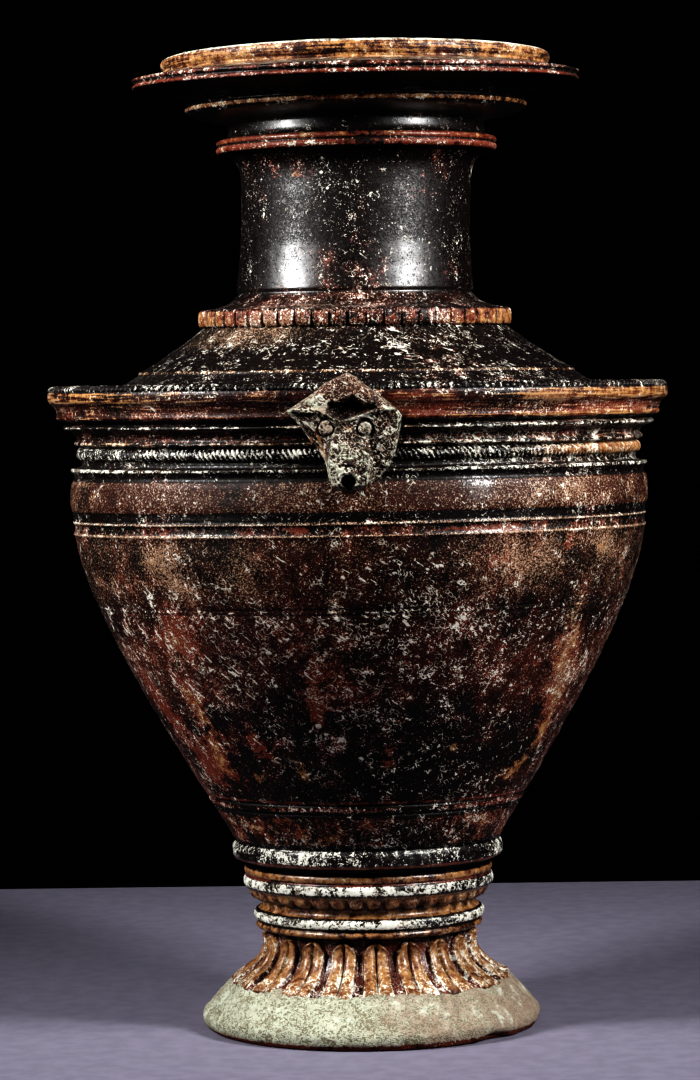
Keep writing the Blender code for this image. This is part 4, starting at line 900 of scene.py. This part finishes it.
def glaze_material(settings):
    """Brown-black ash glaze: amber where thin, red iron, lime crust, scratches and bare slip, with painted shade laid
    on as black glaze.
    """
    material = bpy.data.materials.new("JarGlaze")
    material.use_nodes = True
    tree = material.node_tree
    tree.nodes.clear()
    wire = Wire(tree)
    place = wire.add("ShaderNodeTexCoord", output="Object")
    grain = wire.noise(place, 1450.0, 1.0, 0.6) - 0.5
    fine = wire.noise(place, 700.0, 2.0, 0.6) - 0.5
    fleck = wire.noise(place, 280.0, 2.0, 0.6) - 0.5
    patch = wire.noise(place, 105.0, 3.0, 0.6) - 0.5
    cloud = wire.noise(place, 26.0, 3.0, 0.55) - 0.5
    comb = wire.noise(wire.stretched(place, (0.05, 0.05, 1.0)), 1100.0, 1.0, 0.5) - 0.5
    combs = comb * wire.mark("Combed")

    # Black glaze breaking to dark brown and iron red
    brown = wire.mark("Brown")
    deep = brown * 0.9 + cloud * 0.7 + patch * 0.9 + fine * 0.6
    colour = wire.over(deep.ease(0.25, 0.75), settings.black_glaze_and_shade, settings.brown_glaze)
    red = wire.mark("Red") + cloud * 0.7 + patch * 1.0 + fleck * 0.7 + fine * 0.9 + combs * 1.4
    colour = wire.over(red.ease(0.46, 0.66) * 0.92, colour, settings.red_glaze)

    # Amber where the glaze runs thin, from dark at its borders to pale
    amber = wire.mark("Amber") + patch * 0.8 + fleck * 0.7 + grain * 0.7 + combs * 1.2
    tone = fleck + patch * 0.7 + fine * 0.5 + combs * 1.5 + wire.mark("Amber") * 0.25
    thin = wire.over(tone.ease(-0.08, 0.42), settings.amber_dark, settings.amber_glaze)
    colour = wire.over(amber.ease(0.42, 0.58), colour, thin)

    # A fine tan grain where the glaze is worn or matt
    tan = wire.mark("Tan") + grain * 2.3 + fine * 1.1 + patch * 0.5 + combs * 1.2
    colour = wire.over(tan.ease(0.50, 0.86) * 0.92, colour, settings.tan_grain)

    # Lime crust: ragged sheets, specks, round dots, curling threads and short strokes
    crust = wire.mark("Crust")
    specks = wire.mark("Specks")
    scratch = wire.mark("Scratch")
    sheet = (crust + patch * 0.9 + fleck * 1.0 + fine * 1.1 + grain * 1.1 + combs * 0.7).ease(0.54, 0.68)
    dust = (specks * 0.8 + grain * 2.3 + fine * 1.3 + patch * 0.9 + cloud * 0.4 + combs * 0.8).ease(0.76, 0.90)
    spot = wire.add("ShaderNodeTexVoronoi", {"feature": "F1"}, {"Vector": place, "Scale": 400.0})
    pick = Wire(tree, spot.socket.node.outputs["Color"])
    room = pick * 1.0 + specks * 0.50 + patch * 0.9 - 0.90
    dots = (room - spot + fine * 0.25).ease(0.0, 0.08)
    bent = wire.noise(place, 330.0, 1.0, 0.5) - 0.5
    where = wire.noise(place, 80.0, 2.0, 0.6) - 0.5
    curls = 1.0 - bent.size().ease(0.012, 0.036)
    curls = curls * (where * 1.2 + scratch * 0.55 + fleck * 0.9).ease(0.29, 0.35)
    turned = wire.add("ShaderNodeVectorRotate", {"rotation_type": "Y_AXIS"}, {"Vector": place, "Angle": 0.9})
    stroke = wire.noise(wire.stretched(turned, (1.0, 1.0, 0.16)), 620.0, 1.0, 0.5) - 0.5
    strokes = (stroke + scratch * 0.42 + patch * 0.5 + fleck * 0.3).ease(0.37, 0.43)
    lime = sheet.most(dust * 0.9).most(dots).most(curls * 0.9).most(strokes * 0.85)
    faded = wire.over((patch + fine * 0.9 + fleck * 0.6 + crust * 0.12).ease(-0.12, 0.16), settings.lime_dirty, settings.lime_crust)
    colour = wire.over(lime * 0.96, colour, faded)

    # Bare slip of the foot, with olive pits and warm stains
    bare = (wire.mark("Bare") + fleck * 0.9 + fine * 0.9 + patch * 0.3).ease(0.38, 0.60)
    pits = (fine * 0.9 + grain * 0.9 + fleck * 0.6 + patch * 0.5).ease(-0.22, 0.06)
    slip = wire.over(pits, settings.slip_pits, settings.slip_pale)
    stain = wire.noise(place, 34.0, 3.0, 0.6) + fine * 0.5
    slip = wire.over((stain + fleck * 0.7 + wire.mark("Warm") * 0.42).ease(0.50, 0.92) * 0.8, slip, settings.slip_warm)
    slip = wire.over((cloud + fleck * 0.9 + patch).ease(0.16, 0.40) * 0.6, slip, settings.slip_chalk)
    colour = wire.over(bare, colour, slip)
    # Painted shade: the Shade mark lays black glaze over shaded recesses, the rim's underside and the hollows
    colour = wire.over(wire.mark("Shade") * 0.9, colour, settings.black_glaze_and_shade)

    gloss = wire.mark("Gloss")
    dull = fleck * 0.3 + 0.62 - gloss * 0.30
    roughness = dull.most(0.25).most(lime * 0.75).most(bare * 0.88)
    coat = gloss * 1.15 + fine * 1.5 + grain * 2.0 + fleck * 0.9 - lime * 0.9 - bare * 2.0
    relief = lime * 0.60 + amber.ease(0.40, 0.62) * 0.12 + fleck * 0.35 + combs * 0.9
    relief = relief + fine * (0.65 - gloss * 0.40) + grain * 0.35 + bare * pits
    bump = wire.add("ShaderNodeBump", None, {"Strength": 0.8, "Distance": 0.0004, "Height": relief})
    shader = wire.add("ShaderNodeBsdfPrincipled", None, {
        "Base Color": colour, "Roughness": roughness, "Normal": bump, "Specular IOR Level": 0.22,
        "Coat Weight": coat.ease(0.26, 0.92), "Coat Roughness": 0.35, "Coat IOR": 1.55})
    wire.add("ShaderNodeOutputMaterial", None, {"Surface": shader})
    return material


def floor_material(settings):
    """Plain lilac-grey board, faintly mottled."""
    material = bpy.data.materials.new("FloorBoard")
    material.use_nodes = True
    tree = material.node_tree
    tree.nodes.clear()
    wire = Wire(tree)
    place = wire.add("ShaderNodeTexCoord", output="Object")
    mottle = wire.noise(place, 90.0, 3.0, 0.6)
    colour = wire.over(mottle.ease(0.35, 0.65), settings.floor_dark, settings.floor_pale)
    shader = wire.add("ShaderNodeBsdfPrincipled", None, {
        "Base Color": colour, "Roughness": 0.85, "Specular IOR Level": 0.2})
    wire.add("ShaderNodeOutputMaterial", None, {"Surface": shader})
    return material


def jar_glaze():
    """The shared glaze, made once."""
    found = bpy.data.materials.get("JarGlaze")
    return found or glaze_material(bpy.context.scene.jar_finish)


class JarFinish(bpy.types.PropertyGroup):
    """Colours of the glaze, crust, slip and floor."""

    # Also the colour of the painted shade
    black_glaze_and_shade: bpy.props.FloatVectorProperty(
        name="Black Glaze", description="Thick glaze", subtype="COLOR", size=4,
        default=(0.0045, 0.0022, 0.0018, 1.0), min=0.0, max=1.0)
    brown_glaze: bpy.props.FloatVectorProperty(
        name="Brown Glaze", description="Matt brown glaze", subtype="COLOR", size=4,
        default=(0.034, 0.0085, 0.005, 1.0), min=0.0, max=1.0)
    amber_dark: bpy.props.FloatVectorProperty(
        name="Dark Amber", description="Border of the thin glaze", subtype="COLOR", size=4,
        default=(0.10, 0.036, 0.016, 1.0), min=0.0, max=1.0)
    amber_glaze: bpy.props.FloatVectorProperty(
        name="Amber Glaze", description="Glaze where it is thin", subtype="COLOR", size=4,
        default=(0.275, 0.155, 0.062, 1.0), min=0.0, max=1.0)
    tan_grain: bpy.props.FloatVectorProperty(
        name="Tan Grain", description="Fine worn grain on the brown glaze", subtype="COLOR", size=4,
        default=(0.26, 0.172, 0.115, 1.0), min=0.0, max=1.0)
    red_glaze: bpy.props.FloatVectorProperty(
        name="Red Glaze", description="Iron red in the glaze", subtype="COLOR", size=4,
        default=(0.115, 0.027, 0.014, 1.0), min=0.0, max=1.0)
    lime_crust: bpy.props.FloatVectorProperty(
        name="Lime Crust", description="Grey-cream burial crust", subtype="COLOR", size=4,
        default=(0.50, 0.495, 0.44, 1.0), min=0.0, max=1.0)
    lime_dirty: bpy.props.FloatVectorProperty(
        name="Dirty Crust", description="Brownish crust", subtype="COLOR", size=4,
        default=(0.25, 0.20, 0.155, 1.0), min=0.0, max=1.0)
    slip_pale: bpy.props.FloatVectorProperty(
        name="Pale Slip", description="Bare slip of the foot", subtype="COLOR", size=4,
        default=(0.335, 0.345, 0.275, 1.0), min=0.0, max=1.0)
    slip_warm: bpy.props.FloatVectorProperty(
        name="Warm Slip", description="Pinkish stain on the slip", subtype="COLOR", size=4,
        default=(0.225, 0.165, 0.125, 1.0), min=0.0, max=1.0)
    slip_pits: bpy.props.FloatVectorProperty(
        name="Slip Pits", description="Olive dirt in the slip's pits", subtype="COLOR", size=4,
        default=(0.155, 0.135, 0.085, 1.0), min=0.0, max=1.0)
    slip_chalk: bpy.props.FloatVectorProperty(
        name="Chalk", description="Clean white scum on the slip", subtype="COLOR", size=4,
        default=(0.43, 0.46, 0.40, 1.0), min=0.0, max=1.0)
    floor_pale: bpy.props.FloatVectorProperty(
        name="Pale Floor", description="Floor board", subtype="COLOR", size=4,
        default=(0.170, 0.160, 0.200, 1.0), min=0.0, max=1.0)
    floor_dark: bpy.props.FloatVectorProperty(
        name="Floor Mottle", description="Darker mottle of the floor", subtype="COLOR", size=4,
        default=(0.150, 0.141, 0.178, 1.0), min=0.0, max=1.0)


class JarStudio(bpy.types.PropertyGroup):
    """Camera and lights."""

    camera_distance: bpy.props.FloatProperty(
        name="Camera Distance", description="From the jar's axis", default=1.7858, min=0.5, unit="LENGTH")
    camera_height: bpy.props.FloatProperty(
        name="Camera Height", description="Above the floor", default=0.3131, min=0.0, unit="LENGTH")
    camera_turn: bpy.props.FloatProperty(
        name="Camera Turn", description="Round the jar from the head", default=math.radians(2.0),
        subtype="ANGLE")
    lens: bpy.props.FloatProperty(
        name="Lens", description="Focal length in millimetres on a 36 mm frame", default=115.0, min=10.0)
    light_power: bpy.props.FloatProperty(
        name="Light Power", description="Watts of each softbox", default=4.55, min=0.0)


class JAR_OT_neck(bpy.types.Operator):
    """Build the lip, rim, cup, neck ring and neck"""

    bl_idname = "jar.build_neck"
    bl_label = "Rim And Neck"

    def execute(self, context):
        outside = soften(rim_outline(), 2.6)
        inside = [(71.2, 365.6), (64.0, 371.0), (56.0, 375.0), (52.4, 380.0), (51.6, 384.0), (51.6, 400.0),
                  (51.6, 420.0), (51.6, 440.0), (51.6, 450.4), (56.1, 459.8), (63.0, 467.0),
                  (71.6, 476.0), (83.6, 485.0), (87.8, 490.0), (89.4, 494.8)]
        turn_piece("JarNeck", close_ring(outside, inside), 384, clay_relief, glaze_marks, jar_glaze())
        return {"FINISHED"}


class JAR_OT_shoulder(bpy.types.Operator):
    """Build the shoulder, the flange and the mouldings under it"""

    bl_idname = "jar.build_shoulder"
    bl_label = "Shoulder And Flange"

    def execute(self, context):
        outside = soften(shoulder_outline(), 2.4)
        inside = [(134.6, 291.8), (134.1, 301.0), (131.0, 312.0), (123.5, 320.3), (112.0, 329.9),
                  (103.0, 336.0), (92.0, 344.0), (81.0, 352.6), (73.0, 359.6), (68.5, 364.0), (66.5, 367.0)]
        turn_piece("JarShoulder", close_ring(outside, inside), 500, clay_relief, glaze_marks, jar_glaze())
        return {"FINISHED"}


class JAR_OT_belly(bpy.types.Operator):
    """Build the band and the belly"""

    bl_idname = "jar.build_belly"
    bl_label = "Belly"

    def execute(self, context):
        outside = belly_outline()
        inner = np.array(bezier((59.3, 96.0), (76.0, 126.4), (132.7, 211.8), (138.5, 261.8), 26))
        inside = [tuple(point) for point in inner] + [(138.5, 274.4), (135.0, 293.0)]
        turn_piece("JarBelly", close_ring(outside, inside), 440, clay_relief, glaze_marks, jar_glaze())
        return {"FINISHED"}


class JAR_OT_foot_rings(bpy.types.Operator):
    """Build the stack of rings between the belly and the petals"""

    bl_idname = "jar.build_foot_rings"
    bl_label = "Foot Rings"

    def execute(self, context):
        outside = soften(ring_outline(), 1.2)
        inside = [(40.5, 49.8), (40.5, 60.0), (40.5, 71.0), (49.0, 84.0), (58.8, 97.2)]
        turn_piece("JarFootRings", close_ring(outside, inside), 440, frill_relief, glaze_marks, jar_glaze())
        return {"FINISHED"}


class JAR_OT_foot(bpy.types.Operator):
    """Build the petals and the spreading foot"""

    bl_idname = "jar.build_foot"
    bl_label = "Petalled Foot"

    def execute(self, context):
        outside = foot_rows()
        well = np.array([(1.5, 26.0), (20.0, 26.2), (30.0, 27.2), (36.0, 31.0), (40.0, 38.0), (40.5, 50.0)])
        rows = np.vstack([well, outside])
        turn_piece("JarFoot", rows, 800, foot_relief, foot_marks, jar_glaze(), wrapped=False)
        return {"FINISHED"}


class JAR_OT_rings(bpy.types.Operator):
    """Build the notched bead, twisted cord and notched neck band"""

    bl_idname = "jar.build_notched_rings"
    bl_label = "Notched Rings"

    def execute(self, context):
        glaze = jar_glaze()

        def bead_relief(angle, radius, height, points):
            wander = 1.2 * np.sin(5.0 * angle) + 0.7 * np.sin(11.0 * angle + 1.0)
            phase = BEAD_NOTCHES * angle + wander + 0.55 * (radius - 155.0)
            cut = smooth(np.cos(phase), 0.1, 0.95)
            return 0.25 - 1.15 * cut + 0.25 * lumps(points, 8.0, 51)

        def bead_paint(angle, radius, height, points, marks):
            wander = 1.2 * np.sin(5.0 * angle) + 0.7 * np.sin(11.0 * angle + 1.0)
            phase = BEAD_NOTCHES * angle + wander + 0.55 * (radius - 155.0)
            return 0.44 - 0.46 * smooth(np.cos(phase), -0.3, 0.6) + 0.30 * lumps(points, 9.0, 52)

        section = oval_section(155.4, 329.9, 3.9, 2.1, 14)
        notched_ring("FlangeBead", section, BEAD_NOTCHES * 7, bead_relief,
                     notch_marks({"Crust": bead_paint}), glaze)

        def cord_relief(angle, radius, height, points):
            phase = CORD_STRANDS * angle + 1.3 * (height - 297.8) + 0.8 * np.sin(7.0 * angle)
            cut = smooth(np.cos(phase), 0.0, 0.95)
            return 0.10 - 0.85 * cut + 0.2 * lumps(points, 14.0, 54)

        def cord_amber_and_painted_light(angle, radius, height, points, marks):
            # Amber on the cord's right side, where the right lamp lights it: part glaze colour, part painted light
            lit = smooth(np.sin(angle), 0.45, 0.9)
            return 0.16 + 0.70 * lit + 0.15 * lumps(points, 6.0, 55)

        def cord_crust(angle, radius, height, points, marks):
            phase = CORD_STRANDS * angle + 1.3 * (height - 297.8) + 0.8 * np.sin(7.0 * angle)
            cut = smooth(np.cos(phase), -0.2, 0.6)
            return marks["Crust"] + (0.46 - 0.3 * smooth(np.sin(angle), 0.7, 0.95)) * (1.0 - cut)

        section = oval_section(142.6, 297.8, 2.9, 3.2, 14)
        notched_ring("TwistedCord", section, CORD_STRANDS * 6, cord_relief,
                     notch_marks({"Amber": cord_amber_and_painted_light, "Crust": cord_crust}), glaze)

        def band_relief(angle, radius, height, points):
            phase = BAND_NOTCHES * angle + 0.7 * np.sin(3.0 * angle) + 0.5
            cut = smooth(np.cos(phase), 0.62, 0.98)
            swell = 0.4 * np.sqrt(np.clip(1.0 - np.cos(phase) ** 2, 0.0, 1.0))
            return swell - 1.5 * cut + 0.2 * lumps(points, 6.0, 56)

        def band_crust(angle, radius, height, points, marks):
            phase = BAND_NOTCHES * angle + 0.7 * np.sin(3.0 * angle) + 0.5
            edge = np.exp(-((np.cos(phase) - 0.5) / 0.22) ** 2)
            left = smooth(-np.sin(angle), -0.1, 0.7)
            return marks["Crust"] + 0.30 * edge + 0.14 * left + 0.12 * lumps(points, 7.0, 57)

        # Painted shade: the neck band's notches are laid black
        def band_shade(angle, radius, height, points, marks):
            phase = BAND_NOTCHES * angle + 0.7 * np.sin(3.0 * angle) + 0.5
            return 0.95 * smooth(np.cos(phase), 0.66, 0.90)

        section = [(78.0, 370.2), (79.4, 370.1), (80.2, 369.0), (80.5, 367.4), (80.5, 365.6), (80.5, 363.8),
                   (80.1, 362.4), (79.3, 361.5), (78.0, 361.3), (76.5, 363.0), (76.5, 366.0), (76.5, 369.0)]
        notched_ring("NeckBand", section, BAND_NOTCHES * 18, band_relief,
                     notch_marks({"Crust": band_crust, "Shade": band_shade}), glaze)
        return {"FINISHED"}


class JAR_OT_head(bpy.types.Operator):
    """Build the applied animal head"""

    bl_idname = "jar.build_head"
    bl_label = "Animal Head"

    def execute(self, context):
        build_head(jar_glaze())
        return {"FINISHED"}


def add_softbox(name, degrees, distance, height, size, power, aim):
    """A square area light standing round the jar from the camera's side."""
    data = bpy.data.lights.new(name, "AREA")
    data.shape = "RECTANGLE"
    data.size = size[0]
    data.size_y = size[1]
    data.energy = power
    data.spread = math.radians(80.0)
    light = bpy.data.objects.new(name, data)
    bpy.context.scene.collection.objects.link(light)
    turn = math.radians(degrees)
    light.location = (distance * math.sin(turn), -distance * math.cos(turn), height)
    direction = light.location.copy()
    direction.x = aim[0] - light.location.x
    direction.y = aim[1] - light.location.y
    direction.z = aim[2] - light.location.z
    light.rotation_euler = direction.to_track_quat("-Z", "Y").to_euler()
    return light


class JAR_OT_stage(bpy.types.Operator):
    """Lay the floor, hang the lights and set the camera"""

    bl_idname = "jar.set_stage"
    bl_label = "Photo Stage"

    def execute(self, context):
        studio = context.scene.jar_studio
        mesh = bpy.data.meshes.new("Floor")
        edge = 0.53
        corners = [(-0.62, -0.50, 0.0), (0.62, -0.50, 0.0), (0.62, edge, 0.0), (-0.62, edge, 0.0)]
        lower = [(x, y, -0.03) for x, y, _ in corners]
        sides = [(0, 1, 2, 3), (7, 6, 5, 4), (0, 4, 5, 1), (1, 5, 6, 2), (2, 6, 7, 3), (3, 7, 4, 0)]
        mesh.from_pydata(corners + lower, [], sides)
        mesh.materials.append(floor_material(context.scene.jar_finish))
        board = bpy.data.objects.new("Floor", mesh)
        context.scene.collection.objects.link(board)

        add_softbox("LeftSoftbox", -61.0, 0.98, 0.80, (0.15, 0.50), studio.light_power, (0.0, 0.0, 0.34))
        add_softbox("RightSoftbox", 55.0, 0.98, 0.80, (0.15, 0.50), studio.light_power, (0.0, 0.0, 0.34))
        add_softbox("BackFill", 180.0, 1.80, 2.00, (1.0, 1.0), 0.015 * studio.light_power, (0.0, 0.0, 0.3))

        world = bpy.data.worlds.new("StudioDark")
        world.use_nodes = True
        tree = world.node_tree
        tree.nodes.clear()
        wire = Wire(tree)
        seen = wire.add("ShaderNodeLightPath", output="Is Camera Ray")
        dark = wire.add("ShaderNodeBackground", None, {"Color": (0.0, 0.0, 0.0, 1.0), "Strength": 1.0})
        soft = wire.add("ShaderNodeBackground", None, {"Color": (0.5, 0.5, 0.56, 1.0), "Strength": 0.018})
        mixed = wire.add("ShaderNodeMixShader", None, {0: seen, 1: soft, 2: dark})
        wire.add("ShaderNodeOutputWorld", None, {"Surface": mixed})
        context.scene.world = world

        # The photograph's print is contrasty, with deep blacks
        context.scene.view_settings.view_transform = "Standard"
        context.scene.view_settings.look = "Very High Contrast"

        data = bpy.data.cameras.new("JarCamera")
        data.sensor_fit = "AUTO"
        data.sensor_width = 36.0
        data.lens = studio.lens
        camera = bpy.data.objects.new("JarCamera", data)
        context.scene.collection.objects.link(camera)
        turn = studio.camera_turn
        pitch = math.atan(120.0 / 3450.0)
        yaw = math.atan(13.3 / 3450.0)
        roll = math.radians(1.016)
        spin = Matrix.Rotation(turn + yaw, 4, "Z") @ Matrix.Rotation(math.pi / 2 - pitch, 4, "X")
        spin = spin @ Matrix.Rotation(-roll, 4, "Z")
        place = Matrix.Translation((studio.camera_distance * math.sin(turn),
                                    -studio.camera_distance * math.cos(turn), studio.camera_height))
        camera.matrix_world = place @ spin
        context.scene.camera = camera
        return {"FINISHED"}


class JAR_PT_panel(bpy.types.Panel):
    """The jar's pieces and settings"""

    bl_idname = "JAR_PT_panel"
    bl_label = "Glazed Pedestal Jar"
    bl_space_type = "VIEW_3D"
    bl_region_type = "UI"
    bl_category = "Jar"

    def draw(self, context):
        layout = self.layout
        for operator in BUILD_ORDER:
            layout.operator(operator.bl_idname)
        for group in (context.scene.jar_finish, context.scene.jar_studio):
            for name in group.__annotations__:
                layout.prop(group, name)


BUILD_ORDER = (JAR_OT_neck, JAR_OT_shoulder, JAR_OT_belly, JAR_OT_foot_rings, JAR_OT_foot,
               JAR_OT_rings, JAR_OT_head, JAR_OT_stage)
CLASSES = (JarFinish, JarStudio) + BUILD_ORDER + (JAR_PT_panel,)


def register():
    """Register the classes and hang the settings on the scene."""
    for item in CLASSES:
        bpy.utils.register_class(item)
    bpy.types.Scene.jar_finish = bpy.props.PointerProperty(type=JarFinish)
    bpy.types.Scene.jar_studio = bpy.props.PointerProperty(type=JarStudio)


def unregister():
    """Take the settings and classes away again."""
    del bpy.types.Scene.jar_studio
    del bpy.types.Scene.jar_finish
    for item in reversed(CLASSES):
        bpy.utils.unregister_class(item)


def main():
    """Build every piece in order."""
    register()
    bpy.ops.jar.build_neck()
    bpy.ops.jar.build_shoulder()
    bpy.ops.jar.build_belly()
    bpy.ops.jar.build_foot_rings()
    bpy.ops.jar.build_foot()
    bpy.ops.jar.build_notched_rings()
    bpy.ops.jar.build_head()
    bpy.ops.jar.set_stage()


if __name__ == "__main__":
    main()
